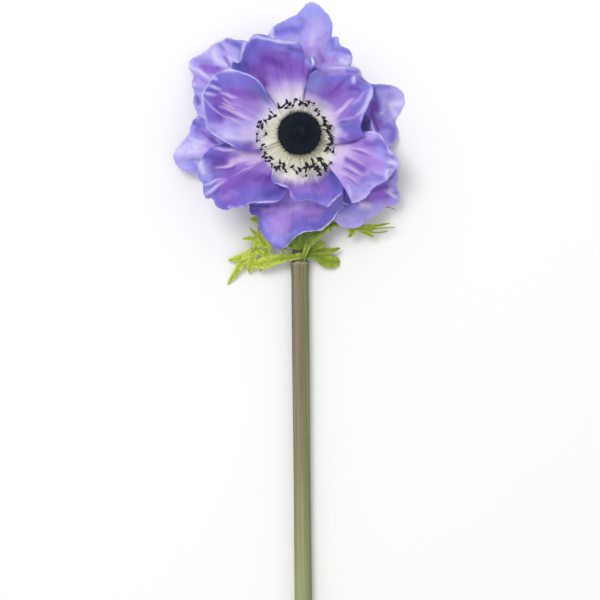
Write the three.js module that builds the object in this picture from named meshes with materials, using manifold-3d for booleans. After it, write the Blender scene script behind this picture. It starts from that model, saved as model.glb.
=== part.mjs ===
// Anemone flower, cut and laid on its back. The scape lies along the surface, a whorl of three cut
// bracts clasps it below the bloom, and the bloom turns up so that it faces straight away from the surface.
// Millimetres: +X across the bloom, +Y from the cut end towards the bloom, +Z up from the surface.
// While it is built, the bloom's axis crosses X = 0, Y = 0; the finished flower is then moved so that
// its origin is the middle of its footprint.

import * as THREE from "three";
import * as BufferGeometryUtils from "three/addons/utils/BufferGeometryUtils.js";
import Module from "manifold-3d";

const wasm = await Module();
wasm.setup();

// Driving dimensions

const CLEARANCE = 0.3; // between pieces that touch
const PETAL_THICKNESS = 0.7;
const PETAL_GAP = 0.45; // between petals that lie on each other
const PETAL_ROWS = 9;
const PETAL_COLUMNS = 18;
const CLAW_HALF_WIDTH = 2.2; // a petal's foot
const CLAW_REACH = 5.55; // from the bloom's axis
const PETAL_SWELL = 0.72; // below 1, a petal widens early on its way out

const BLOOM_HEIGHT = 20; // of the bloom's centre over the surface
const BLOOM_TILT_X = 0.09; // fall of the bloom's plane per mm along +X
const BLOOM_TILT_Y = 0.192; // and along +Y
const BLOOM_AXIS = new THREE.Vector3(BLOOM_TILT_X, BLOOM_TILT_Y, 1).normalize();
const OUTER_CLAW_LEVEL = -7.8; // from the bloom's centre, along its axis
const INNER_CLAW_LEVEL = -4.7;

const STEM_SIDES = 14;
const STEM_RADIUS = 3.45;
const STEM_AXIS_HEIGHT = STEM_RADIUS * Math.cos(Math.PI / STEM_SIDES); // one facet lies on the surface
const STEM_CUT_Y = -246;
const STEM_CUT_SLANT = 0.35; // mm of slant per mm of height
const STEM_DRIFT = 0.0104; // the scape leaves the bloom's axis by this much per mm
const COLLAR_Y = -50.4;
const COLLAR_X = 1.1;
const COLLAR_SCALLOP = 0.45;
const PEDICEL_RADIUS = 2.9;
const BEND_START_Y = -15;
const RECEPTACLE_RADIUS = 5;
const NECK_RADIUS = 3.9;
const RECEPTACLE_TOP = -0.5; // along the bloom's axis
const NECK_TOP = 2;

const DOME_OFFSET = new THREE.Vector2(0.5, 0); // the dark head sits a little off the axis
const DOME_RADIUS = 8.4;
const DOME_FOOT = NECK_TOP + CLEARANCE;
const DOME_HEIGHT = 7.8;
// its outline from foot to top, as shares of the radius and the height
const DOME_PROFILE = [[0.56, 0], [0.86, 0.12], [1, 0.34], [0.94, 0.6], [0.7, 0.83], [0.36, 0.96], [0.1, 1]];
const DOME_SIDES = 28;
const DOME_ROWS = 9;
const DOME_RELIEF = 0.28;

const STAMEN_COUNT = 40;
const STAMEN_SIDES = 4;
const STAMEN_RING_OFFSET = new THREE.Vector2(-0.8, -0.9);
const STAMEN_ROWS = [13.1, 15.4]; // radii of the two staggered rows of anthers
const STAMEN_RISE = 3.4;
const FILAMENT_RADIUS = 0.36;
const ANTHER_RADIUS = 0.8;
const ANTHER_LENGTH = 2.2;
const HUB_RADIUS = 6.1;
const HUB_BOTTOM = RECEPTACLE_TOP + 0.4;
const HUB_TOP = HUB_BOTTOM + 1.4;
const FILAMENT_FOOT = 5.3; // the filaments start inside the hub

const BRACT_THICKNESS = 0.7;
const BRACT_FOLD = 0.22; // rise of a lobe's edges per mm from its midrib
const LOBE_ROWS = 5;

const MAP_CELL = 0.75; // the height map that keeps each petal above those below it
const MAP_REACH = 66;
const MAP_WIDEN = 2; // cells
const MAP_SPREAD = 24; // cells
const MAP_SLOPE = 0.7; // how fast a petal may sink beside what it rests on
const NOTHING = -99;

const COLOURS = {
  stem: { color: 0x84785f, roughness: 0.6, metalness: 0 },
  bract: { color: 0x8fa83a, roughness: 0.65, metalness: 0 },
  outer: { color: 0x8f84d0, roughness: 0.7, metalness: 0 },
  inner: { color: 0x7a5fc0, roughness: 0.7, metalness: 0 },
  dark: { color: 0x1b1820, roughness: 0.8, metalness: 0 },
};

// Petals, from the lowest to the topmost. The margin runs anticlockwise from one shoulder to the other,
// as X and Y in pairs. Levels are the heights over the bloom's tilted plane at the claw, at one third, at
// two thirds and at the margin. Cup lifts the sides, pleats run from claw to margin, and the ruffle waves
// the margin.

const OUTER_PETALS = [
  {
    name: "petal_outer_right_lower",
    azimuth: 315,
    levels: [0, 0.6, -1.6, -6],
    cup: -1,
    pleats: { count: 4, depth: 0.5, phase: 0.3 },
    ruffle: { count: 4, depth: 0.9, phase: 1.2 },
    margin: [
      9, -22, 11, -28, 14, -32.6, 17.2, -35.8, 21.2, -36.8, 24.8, -36.4, 28, -34, 31.2, -32, 34.8, -29,
      38.4, -27.8, 41, -26, 40.8, -22.4, 40.2, -19.2, 40.8, -16.4, 40.4, -10, 38, -5.6, 32, -3.4,
    ],
  },
  {
    name: "petal_outer_top",
    azimuth: 84,
    levels: [0, 0.4, -1.2, -4.6],
    cup: 0.6,
    pleats: { count: 5, depth: 0.6, phase: 0 },
    ruffle: { count: 4, depth: 0.8, phase: 0.6 },
    margin: [
      19.2, 19, 21.2, 24, 21.6, 28, 22, 31.6, 20, 35.2, 17.2, 37.6, 15.8, 40.2, 13.8, 41, 13.6, 46,
      11.2, 49.6, 8, 53, 4.4, 53.4, 2, 51.2, -0.8, 48.8, -4.8, 46.8, -8.8, 44.8, -11.2, 42, -13.2, 37.6,
      -14, 31,
    ],
  },
  {
    name: "petal_outer_left",
    azimuth: 189,
    levels: [0, 0.9, -2.6, -12],
    cup: -1,
    pleats: { count: 4, depth: 0.5, phase: 1 },
    ruffle: { count: 3, depth: 0.7, phase: 0.4 },
    margin: [
      -27, 8.5, -35.6, 9, -38.8, 8.4, -41.6, 6.4, -42.7, 2.8, -44, -0.4, -47.6, -4.4, -49.6, -8,
      -48.6, -11.2, -45.2, -14, -40.4, -15.4, -34.8, -16, -27, -15,
    ],
  },
  {
    name: "petal_outer_bottom",
    azimuth: 263,
    levels: [0, 0.9, -1.4, -6.5],
    cup: -1.4,
    pleats: { count: 4, depth: 0.6, phase: 0.5 },
    ruffle: { count: 4, depth: 0.9, phase: 2 },
    margin: [
      -20.6, -20, -19.6, -26.4, -18.4, -31.2, -16.2, -32, -15, -36.8, -13.2, -40.4, -10, -43.6,
      -6.8, -45.2, -4, -44.4, -1.2, -41.4, 2.4, -38.8, 7.2, -38, 10, -38, 12.4, -35.4, 14.8, -33.2,
      17.2, -29.6, 18.6, -23,
    ],
  },
  {
    name: "petal_outer_left_upper",
    azimuth: 142,
    levels: [0, 0.6, -1.6, -6.5],
    cup: -0.6,
    pleats: { count: 5, depth: 0.7, phase: 0.2 },
    ruffle: { count: 5, depth: 0.9, phase: 0 },
    margin: [
      -13, 29, -16.4, 36, -20, 38.4, -23.6, 38.6, -27.2, 39.4, -30.8, 38, -35.2, 35.6, -39.2, 32.6,
      -42.6, 30.6, -43.2, 27.6, -41.6, 24, -42.2, 20.4, -41, 16.8, -41.6, 13.2, -40, 9.6, -36.8, 5.6,
      -29, 3,
    ],
  },
  {
    name: "petal_outer_right_upper",
    azimuth: 19,
    levels: [0, 0.7, -2, -8.6],
    cup: -0.8,
    pleats: { count: 5, depth: 0.8, phase: 0.9 },
    ruffle: { count: 4, depth: 0.9, phase: 2.6 },
    margin: [
      24, -7, 33.2, -6.4, 37.2, -4, 40, -0.4, 40.4, 2, 39.6, 5.6, 41.2, 9.2, 42.8, 13.6, 42.4, 16.8,
      40, 19.2, 36, 20.6, 31.6, 21, 27.6, 22.2, 25.2, 25.2, 23.2, 27.6, 19.2, 27.9, 14, 27.8, 10, 24,
    ],
  },
];

const INNER_PETALS = [
  {
    name: "petal_inner_top",
    azimuth: 107,
    levels: [0, 1, 3.6, 6],
    cup: -0.4,
    pleats: { count: 5, depth: 0.6, phase: 0.4 },
    ruffle: { count: 4, depth: 0.9, phase: 0.8 },
    margin: [
      7.6, 17, 9.2, 22.4, 8.8, 26.4, 6.4, 29.6, 3.2, 32.4, 2.4, 35.2, -0.4, 37.6, -6, 38.6, -10.4, 39.2,
      -13.6, 40.8, -17.2, 40.6, -19.6, 38, -21.6, 34, -23, 30.4, -26, 29.2, -25.6, 24.8, -21.6, 18,
    ],
  },
  {
    name: "petal_inner_left_lower",
    azimuth: 217,
    levels: [0, 1.1, 3.4, 5.4],
    cup: 0.2,
    pleats: { count: 5, depth: 0.7, phase: 1.4 },
    ruffle: { count: 5, depth: 0.9, phase: 0.2 },
    margin: [
      -20, -1.6, -26, -2.4, -30.8, -3.8, -33.6, -4.6, -36.8, -7.2, -39.2, -11.2, -39.8, -14.4,
      -38.8, -17.6, -37.2, -21.6, -36.6, -24.8, -34, -25.6, -31.6, -28.6, -27.6, -29.6, -22.8, -28.8,
      -18.8, -26.8, -13.2, -26.8, -8, -26.4, -5.6, -24.4, -4.2, -21.6, -3.2, -16,
    ],
  },
  {
    name: "petal_inner_bottom",
    azimuth: 281,
    levels: [0, 1.4, 5, 9.5],
    cup: -1.6,
    pleats: { count: 4, depth: 0.6, phase: 0 },
    ruffle: { count: 4, depth: 0.9, phase: 1.8 },
    margin: [
      -9.6, -13, -10, -17.6, -8, -19.2, -3.6, -21.2, -2.6, -24, -1.2, -26.4, 1.2, -26, 6, -25.8,
      9.2, -27.2, 11.6, -28, 13.6, -25.6, 16.4, -24.8, 18.2, -21.6, 17.2, -18, 15.2, -14,
    ],
  },
  {
    name: "petal_inner_right_lower",
    azimuth: 332,
    levels: [0, 1.1, 3.4, 5.6],
    cup: 0.2,
    pleats: { count: 5, depth: 0.7, phase: 0.7 },
    ruffle: { count: 5, depth: 0.9, phase: 1 },
    margin: [
      13, -13.6, 16.4, -16.4, 18.8, -19.2, 20.4, -22.8, 21.4, -26.6, 23.6, -27, 26.8, -25, 30.8, -21.6,
      34.8, -19.4, 38.4, -16.8, 40.2, -13.4, 40.6, -10.8, 38.4, -6.8, 35.2, -3, 31.6, 0.8, 29.8, 2.2,
      27.2, 1.6, 22, 1.6, 17, 2,
    ],
  },
  {
    name: "petal_inner_right_upper",
    azimuth: 40,
    levels: [0, 1.1, 3.6, 6],
    cup: 0.8,
    pleats: { count: 5, depth: 0.7, phase: 2 },
    ruffle: { count: 5, depth: 0.9, phase: 2.2 },
    margin: [
      15, -3.2, 20.4, -2.4, 24, -1, 26.4, -0.2, 25.4, 2.4, 25.8, 6, 27.8, 10, 29.8, 14.8, 30.4, 18.2,
      28.4, 20.6, 24.8, 23, 22, 24.6, 18, 24, 14, 23.8, 10, 25, 7.2, 26, 5.2, 24.4, 3.6, 20.8, 2.4, 16,
    ],
  },
  {
    name: "petal_inner_left_upper",
    azimuth: 156,
    levels: [0, 1.1, 3.4, 5.8],
    cup: 0.6,
    pleats: { count: 5, depth: 0.7, phase: 0.1 },
    ruffle: { count: 5, depth: 0.9, phase: 0.5 },
    margin: [
      -10.6, 17, -13.2, 20.8, -15.2, 22.8, -20.4, 25.6, -25.6, 27, -28.4, 27, -32, 25.2, -35.2, 22,
      -37.6, 17.6, -38.2, 11.2, -36.8, 6, -36, 2.8, -33.6, 0, -30, -1.4, -25.6, -4.6, -21.6, -5.6,
      -16, -5.4,
    ],
  },
];

// Bracts: each is cut into lobes that grow from one foot. A lobe is a row of midrib points, each with
// its half width there: X, Y, Z, half width.

const BRACTS = [
  {
    name: "bract_left",
    lobes: [
      [
        [2.2, -47.9, 6.95, 1.1], [-4, -48.2, 6.9, 1.5], [-10, -49.6, 6.2, 1.7],
        [-16.8, -51.6, 4, 2], [-21.5, -54.6, 2.2, 1.3], [-27.8, -59.4, 0.35, 0.35],
      ],
      [
        [-13, -50.3, 5.4, 1.1], [-17.4, -48.4, 4.6, 1.3], [-21.4, -47.8, 3.4, 1.1],
        [-27.4, -49.6, 1.8, 0.3],
      ],
      [
        [-17.6, -45.8, 5.4, 0.8], [-18.2, -49.4, 4.8, 1.4], [-18.8, -52.4, 3.4, 1.2],
        [-19.2, -55.6, 1.8, 0.3],
      ],
      [
        [-13.6, -50.6, 5.2, 1.2], [-14.2, -52.4, 4.4, 0.9], [-14.8, -54.4, 3.4, 0.3],
      ],
      [
        [-7.4, -49, 6.6, 0.7], [-12.4, -47.9, 6.1, 0.9], [-15.8, -45.8, 5.9, 0.8],
      ],
      [
        [-16.6, -48.2, 5.3, 1], [-15.6, -45.4, 6.2, 1.3], [-14.6, -42.6, 7.2, 2.3],
        [-16.2, -39.8, 8.2, 1.4], [-19, -36.8, 9, 0.3],
      ],
      [
        [-14.4, -43.2, 7.1, 1.6], [-18, -41.9, 7.3, 1.2], [-21.8, -41, 7, 0.3],
      ],
      [
        [-15, -41.4, 7.8, 1.2], [-17, -37.2, 8.9, 0.9], [-18.8, -33.2, 9.8, 0.3],
      ],
      [
        [-14.2, -43.2, 7.1, 1.6], [-11.8, -44.2, 7, 1], [-9.6, -44.6, 6.8, 0.3],
      ],
    ],
  },
  {
    name: "bract_right",
    lobes: [
      [
        [4.1, -47.1, 5.5, 1.4], [8.2, -48.8, 4.4, 1.9], [11.6, -50, 2.9, 2.3],
        [14.8, -50.5, 1.5, 2.3], [17.4, -50.2, 0.35, 0.9],
      ],
      [
        [4.2, -46.3, 5.5, 1.1], [9, -45.1, 5.2, 1.1], [13, -44.6, 4.4, 1], [17.4, -44.7, 3.2, 0.3],
      ],
      [
        [7.6, -45.6, 5.3, 0.8], [9.4, -44.2, 5.5, 1.2], [10.8, -42.9, 5.6, 0.6],
      ],
    ],
  },
  {
    name: "bract_front",
    lobes: [
      [
        [2, -45.7, 7.2, 1.9], [2.9, -43.4, 7.6, 3.6], [4.6, -40.6, 8.1, 4.6],
        [8.2, -38.2, 8.7, 3.6], [13, -37, 9, 2.4],
      ],
      [
        [8, -38.4, 8.7, 2.6], [13, -36.9, 9, 2.2], [20, -36.3, 8.2, 1.7], [29, -35.8, 6.6, 1.2],
        [37.2, -34.9, 5, 0.3],
      ],
      [
        [26, -36, 7.2, 1], [33, -36.3, 5.8, 0.8], [39.4, -36.6, 4.6, 0.3],
      ],
      [
        [24, -36.4, 7.5, 1], [30.6, -37.2, 6.2, 0.8], [36.2, -38, 5, 0.3],
      ],
      [
        [18, -36.6, 8.3, 1.2], [24.6, -38.4, 7, 0.9], [30.6, -40.3, 5.6, 0.3],
      ],
      [
        [11.6, -37.2, 8.8, 1.4], [16.4, -38.8, 8, 1], [20.6, -40.4, 7, 0.3],
      ],
      [
        [22, -35.8, 7.9, 1], [31, -31.8, 6.8, 0.7], [40, -29.5, 5.6, 0.3],
      ],
    ],
  },
];

// Helpers

// A repeatable draw between 0 and 1.
function draw(seed) {
  const value = Math.sin(seed * 127.1 + 311.7) * 43758.5453;
  return value - Math.floor(value);
}

// The larger of two heights, with the corner where they meet rounded off.
function smoothMax(a, b, width) {
  return 0.5 * (a + b + Math.hypot(a - b, width));
}

// A point on the bloom's axis.
function onAxis(level) {
  return BLOOM_AXIS.clone().multiplyScalar(level).add(new THREE.Vector3(0, 0, BLOOM_HEIGHT));
}

// A closed body from points and triangles, turned so that its faces look out.
function closedBody(points, triangles) {
  let volume = 0;
  for (const [a, b, c] of triangles) {
    volume += points[a].dot(points[b].clone().cross(points[c]));
  }
  const faces = volume > 0 ? triangles : triangles.map(([a, b, c]) => [a, c, b]);
  const geometry = new THREE.BufferGeometry();
  const flat = points.flatMap((point) => point.toArray());
  geometry.setAttribute("position", new THREE.Float32BufferAttribute(flat, 3));
  geometry.setIndex(faces.flat());
  return geometry;
}

// A thin blade between two like grids of points, closed round its rim, split alike on both faces.
function blade(top, bottom) {
  const rows = top.length;
  const columns = top[0].length;
  const under = rows * columns;
  const at = (row, column) => row * columns + column;
  const triangles = [];
  for (let row = 0; row < rows - 1; row++) {
    for (let column = 0; column < columns - 1; column++) {
      const a = at(row, column);
      const b = at(row, column + 1);
      const c = at(row + 1, column + 1);
      const d = at(row + 1, column);
      triangles.push([a, b, c], [a, c, d]);
      triangles.push([a + under, c + under, b + under], [a + under, d + under, c + under]);
    }
  }
  const rim = [];
  for (let column = 0; column < columns - 1; column++) rim.push(at(0, column));
  for (let row = 0; row < rows - 1; row++) rim.push(at(row, columns - 1));
  for (let column = columns - 1; column > 0; column--) rim.push(at(rows - 1, column));
  for (let row = rows - 1; row > 0; row--) rim.push(at(row, 0));
  rim.forEach((a, index) => {
    const b = rim[(index + 1) % rim.length];
    triangles.push([a, a + under, b + under], [a, b + under, b]);
  });
  return closedBody([...top.flat(), ...bottom.flat()], triangles);
}

// A closed body through a row of rings with like numbers of points, with a tip at each end.
function throughRings(rings, startTip, endTip) {
  const sides = rings[0].length;
  const points = [...rings.flat(), startTip, endTip];
  const start = points.length - 2;
  const end = points.length - 1;
  const last = (rings.length - 1) * sides;
  const triangles = [];
  for (let side = 0; side < sides; side++) {
    const next = (side + 1) % sides;
    triangles.push([start, next, side], [end, last + side, last + next]);
    for (let ring = 0; ring < last; ring += sides) {
      triangles.push([ring + side, ring + next, ring + sides + next]);
      triangles.push([ring + side, ring + sides + next, ring + sides + side]);
    }
  }
  return closedBody(points, triangles);
}

// A ring of points round a centre, square to a direction, with one facet turned down.
function ringAt(centre, direction, radius, sides, shape = () => 1) {
  const across = new THREE.Vector3(1, 0, 0).addScaledVector(direction, -direction.x).normalize();
  const up = across.clone().cross(direction).normalize();
  return Array.from({ length: sides }, (_, side) => {
    const angle = -Math.PI / 2 + ((side + 0.5) * 2 * Math.PI) / sides;
    const reach = radius * shape(angle);
    const point = centre.clone().addScaledVector(across, reach * Math.cos(angle));
    return point.addScaledVector(up, reach * Math.sin(angle));
  });
}

function toManifold(geometry) {
  const merged = BufferGeometryUtils.mergeVertices(geometry);
  const vertProperties = new Float32Array(merged.getAttribute("position").array);
  const triVerts = new Uint32Array(merged.getIndex().array);
  return new wasm.Manifold(new wasm.Mesh({ numProp: 3, vertProperties, triVerts }));
}

// Several closed bodies joined into one.
function fuse(geometries) {
  const joined = geometries.map(toManifold).reduce((body, piece) => body.add(piece));
  const mesh = joined.getMesh();
  const geometry = new THREE.BufferGeometry();
  geometry.setAttribute("position", new THREE.Float32BufferAttribute(mesh.vertProperties, 3));
  geometry.setIndex(Array.from(mesh.triVerts));
  return geometry;
}

// The height of what already lies in the flower, seen from above.
class HeightMap {
  constructor() {
    this.count = Math.round((2 * MAP_REACH) / MAP_CELL) + 1;
    this.tops = new Float64Array(this.count * this.count).fill(NOTHING);
    this.rests = this.tops;
  }

  // Marks the upper faces of a body.
  add(geometry) {
    const points = geometry.getAttribute("position");
    const index = geometry.getIndex();
    const corners = [new THREE.Vector3(), new THREE.Vector3(), new THREE.Vector3()];
    const point = new THREE.Vector3();
    for (let start = 0; start < index.count; start += 3) {
      corners.forEach((corner, k) => corner.fromBufferAttribute(points, index.getX(start + k)));
      const longest = Math.max(corners[0].distanceTo(corners[1]), corners[0].distanceTo(corners[2]));
      const steps = Math.ceil((2 * longest) / MAP_CELL) + 1;
      for (let i = 0; i <= steps; i++) {
        for (let j = 0; j <= steps - i; j++) {
          point.copy(corners[0]).multiplyScalar((steps - i - j) / steps);
          point.addScaledVector(corners[1], i / steps).addScaledVector(corners[2], j / steps);
          this.mark(point);
        }
      }
    }
  }

  mark(point) {
    const column = Math.round((point.x + MAP_REACH) / MAP_CELL);
    const row = Math.round((point.y + MAP_REACH) / MAP_CELL);
    if (column < 0 || row < 0 || column >= this.count || row >= this.count) return;
    const cell = row * this.count + column;
    this.tops[cell] = Math.max(this.tops[cell], point.z);
  }

  // Works out the heights that the next piece has to keep above: the tops, widened, then sloping off.
  settle() {
    this.rests = this.tops;
    for (let pass = 0; pass < MAP_WIDEN; pass++) this.spread(0);
    for (let pass = 0; pass < MAP_SPREAD; pass++) this.spread(MAP_SLOPE * MAP_CELL);
  }

  // Raises each cell to its highest neighbour, less the fall on the way from there.
  spread(fall) {
    const { count, rests } = this;
    const raised = Float64Array.from(rests);
    for (let row = 1; row < count - 1; row++) {
      for (let column = 1; column < count - 1; column++) {
        const cell = row * count + column;
        const sideways = Math.max(rests[cell - 1], rests[cell + 1]);
        const beside = Math.max(sideways, rests[cell - count], rests[cell + count]);
        const before = Math.max(rests[cell - count - 1], rests[cell - count + 1]);
        const after = Math.max(rests[cell + count - 1], rests[cell + count + 1]);
        const across = Math.max(before, after) - fall * Math.SQRT2;
        raised[cell] = Math.max(rests[cell], beside - fall, across);
      }
    }
    this.rests = raised;
  }

  // The height to keep above at a place.
  under(x, y) {
    const column = (x + MAP_REACH) / MAP_CELL;
    const row = (y + MAP_REACH) / MAP_CELL;
    const left = Math.floor(column);
    const low = Math.floor(row);
    const a = column - left;
    const b = row - low;
    const at = (i, j) => this.rests[(low + j) * this.count + left + i];
    return (1 - b) * ((1 - a) * at(0, 0) + a * at(1, 0)) + b * ((1 - a) * at(0, 1) + a * at(1, 1));
  }
}

// Petals

// A curve through four equally spaced levels.
function alongLevels(levels, s) {
  const place = s * (levels.length - 1);
  const k = Math.min(Math.floor(place), levels.length - 2);
  const f = place - k;
  const before = levels[Math.max(k - 1, 0)];
  const after = levels[Math.min(k + 2, levels.length - 1)];
  const a = levels[k];
  const b = levels[k + 1];
  const slopeA = (b - before) / 2;
  const slopeB = (after - a) / 2;
  const f2 = f * f;
  const f3 = f2 * f;
  return (2 * f3 - 3 * f2 + 1) * a + (f3 - 2 * f2 + f) * slopeA + (3 * f2 - 2 * f3) * b + (f3 - f2) * slopeB;
}

// How far a petal's relief lies over its smooth form: s runs from claw to margin, u from side to side.
function petalRelief(petal, s, u) {
  const { cup, pleats, ruffle } = petal;
  const sides = cup * u * u * s;
  const pleat = pleats.depth * Math.sin(Math.PI * s) * Math.cos(Math.PI * pleats.count * u + pleats.phase);
  const wave = ruffle.depth * s ** 4 * Math.cos(Math.PI * ruffle.count * u + ruffle.phase);
  return sides + pleat + wave;
}

// A smooth curve through a margin's points.
function marginCurve(numbers) {
  const points = [];
  for (let k = 0; k < numbers.length; k += 2) points.push(new THREE.Vector3(numbers[k], numbers[k + 1], 0));
  return new THREE.CatmullRomCurve3(points, false, "catmullrom", 0.5);
}

// The middle face of a petal, from the claw out to the margin, resting on what lies below it.
function petalFace(petal, clawLevel, map) {
  const angle = THREE.MathUtils.degToRad(petal.azimuth);
  const out = new THREE.Vector2(Math.cos(angle), Math.sin(angle));
  const aside = new THREE.Vector2(-out.y, out.x);
  const foot = onAxis(clawLevel);
  const margin = marginCurve(petal.margin);
  const rows = [];
  for (let row = 0; row <= PETAL_ROWS; row++) {
    const s = row / PETAL_ROWS;
    const line = [];
    for (let column = 0; column <= PETAL_COLUMNS; column++) {
      const t = column / PETAL_COLUMNS;
      const u = 2 * t - 1;
      const start = new THREE.Vector2(foot.x, foot.y);
      start.addScaledVector(out, CLAW_REACH).addScaledVector(aside, u * CLAW_HALF_WIDTH);
      const edge = margin.getPointAt(t);
      const way = new THREE.Vector2(edge.x, edge.y).sub(start);
      const place = start.clone().addScaledVector(out, way.dot(out) * s);
      place.addScaledVector(aside, way.dot(aside) * s ** PETAL_SWELL);
      const plane = BLOOM_HEIGHT + clawLevel - BLOOM_TILT_X * place.x - BLOOM_TILT_Y * place.y;
      const wanted = plane + alongLevels(petal.levels, s) + petalRelief(petal, s, u);
      const least = map.under(place.x, place.y) + PETAL_GAP + PETAL_THICKNESS / 2;
      line.push(new THREE.Vector3(place.x, place.y, smoothMax(wanted, least, 0.6)));
    }
    rows.push(line);
  }
  return rows;
}

// A face's upright thickness, larger where it is steep, so that the blade is as thick there.
function uprightThickness(face, row, column, thickness) {
  const rowA = face[Math.max(row - 1, 0)][column];
  const rowB = face[Math.min(row + 1, face.length - 1)][column];
  const sideA = face[row][Math.max(column - 1, 0)];
  const sideB = face[row][Math.min(column + 1, face[row].length - 1)];
  const normal = rowB.clone().sub(rowA).cross(sideB.clone().sub(sideA)).normalize();
  return thickness / Math.max(Math.abs(normal.z), 0.6);
}

// A blade of even thickness on both sides of a face. What would dip below the surface lies flat on it.
function thicken(face, thickness) {
  const top = [];
  const bottom = [];
  face.forEach((line, row) => {
    top.push([]);
    bottom.push([]);
    line.forEach((point, column) => {
      const upright = uprightThickness(face, row, column, thickness);
      const low = Math.max(point.z - upright / 2, 0);
      bottom[row].push(new THREE.Vector3(point.x, point.y, low));
      top[row].push(new THREE.Vector3(point.x, point.y, low + upright));
    });
  });
  return blade(top, bottom);
}

function makePetals(petals, clawLevel, map) {
  return petals.map((petal) => {
    map.settle();
    const geometry = thicken(petalFace(petal, clawLevel, map), PETAL_THICKNESS);
    map.add(geometry);
    return { name: petal.name, geometry };
  });
}

// Stem: the scape with its collar, the pedicel above it and the receptacle, grown as one piece

function makeStem() {
  const cutTop = STEM_CUT_Y;
  const scapeX = (y) => COLLAR_X + (COLLAR_Y - y) * STEM_DRIFT;
  const along = new THREE.Vector3(0, 1, 0);
  const rings = [];
  const scapeYs = [0, 0.06, 0.25, 0.5, 0.75, 0.95].map((f) => cutTop + f * (COLLAR_Y - cutTop));
  scapeYs.forEach((y, index) => {
    const ring = ringAt(new THREE.Vector3(scapeX(y), y, STEM_AXIS_HEIGHT), along, STEM_RADIUS, STEM_SIDES);
    if (index === 0) ring.forEach((point) => point.setY(y + (point.z - STEM_AXIS_HEIGHT) * STEM_CUT_SLANT));
    rings.push(ring);
  });
  const collar = [
    [COLLAR_Y - 2.4, STEM_RADIUS],
    [COLLAR_Y, STEM_RADIUS + 0.3],
    [COLLAR_Y + 0.5, PEDICEL_RADIUS],
  ];
  collar.forEach(([y, radius], index) => {
    const ring = ringAt(new THREE.Vector3(scapeX(y), y, STEM_AXIS_HEIGHT), along, radius, STEM_SIDES);
    ring.forEach((point, side) => {
      const scallop = index === 0 ? 0 : COLLAR_SCALLOP * (side % 2 === 0 ? 1 : -1);
      point.set(point.x, point.y + scallop, Math.max(point.z, 0));
    });
    rings.push(ring);
  });
  const bend = new THREE.CubicBezierCurve3(
    new THREE.Vector3(0.4, BEND_START_Y, STEM_AXIS_HEIGHT),
    new THREE.Vector3(0.1, BEND_START_Y + 8.5, STEM_AXIS_HEIGHT),
    onAxis(OUTER_CLAW_LEVEL - 7.5),
    onAxis(OUTER_CLAW_LEVEL - 1.6),
  );
  for (let step = 0; step <= 7; step++) {
    const direction = bend.getTangent(step / 7);
    rings.push(ringAt(bend.getPoint(step / 7), direction, PEDICEL_RADIUS, STEM_SIDES));
  }
  const receptacle = [
    [OUTER_CLAW_LEVEL - 0.6, RECEPTACLE_RADIUS - 0.6],
    [OUTER_CLAW_LEVEL + 0.4, RECEPTACLE_RADIUS],
    [RECEPTACLE_TOP - 0.6, RECEPTACLE_RADIUS],
    [RECEPTACLE_TOP, RECEPTACLE_RADIUS - 0.6],
    [RECEPTACLE_TOP + 0.1, NECK_RADIUS],
    [NECK_TOP, NECK_RADIUS],
  ];
  receptacle.forEach(([level, radius]) => rings.push(ringAt(onAxis(level), BLOOM_AXIS, radius, STEM_SIDES)));
  const cutCentre = new THREE.Vector3(scapeX(cutTop), cutTop, STEM_AXIS_HEIGHT);
  return throughRings(rings, cutCentre, onAxis(NECK_TOP));
}

// Carpel head: the dark dome in the bloom's centre, its carpels standing out as rows of bumps

function makeCarpels() {
  const profile = new THREE.CatmullRomCurve3(
    DOME_PROFILE.map(([r, h]) => new THREE.Vector3(r * DOME_RADIUS, DOME_FOOT + h * DOME_HEIGHT, 0)),
  );
  const offset = new THREE.Vector3(DOME_OFFSET.x, DOME_OFFSET.y, 0);
  const rings = [];
  for (let row = 0; row <= DOME_ROWS; row++) {
    const station = profile.getPointAt(row / DOME_ROWS);
    const fade = Math.sin((Math.PI * row) / DOME_ROWS);
    const depth = (DOME_RELIEF * fade) / DOME_RADIUS;
    const bumps = (angle) => 1 + depth * Math.cos(0.5 * DOME_SIDES * angle + row * Math.PI);
    rings.push(ringAt(onAxis(station.y).add(offset), BLOOM_AXIS, station.x, DOME_SIDES, bumps));
  }
  const foot = onAxis(DOME_FOOT).add(offset);
  const tip = onAxis(DOME_FOOT + DOME_HEIGHT).add(offset);
  return throughRings(rings, foot, tip);
}

// Stamens: filaments with dark anthers in two staggered rows, grown from a ring round the neck

function makeHub() {
  const stations = [
    [NECK_RADIUS + CLEARANCE, HUB_TOP],
    [HUB_RADIUS - 0.5, HUB_TOP],
    [HUB_RADIUS, (HUB_TOP + HUB_BOTTOM) / 2],
    [HUB_RADIUS - 0.6, HUB_BOTTOM],
    [NECK_RADIUS + CLEARANCE, HUB_BOTTOM],
  ];
  const sides = 20;
  const points = [];
  stations.forEach(([radius, level]) => points.push(...ringAt(onAxis(level), BLOOM_AXIS, radius, sides)));
  const triangles = [];
  for (let k = 0; k < stations.length; k++) {
    const here = k * sides;
    const there = ((k + 1) % stations.length) * sides;
    for (let side = 0; side < sides; side++) {
      const next = (side + 1) % sides;
      triangles.push([here + side, here + next, there + next], [here + side, there + next, there + side]);
    }
  }
  return closedBody(points, triangles);
}

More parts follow.
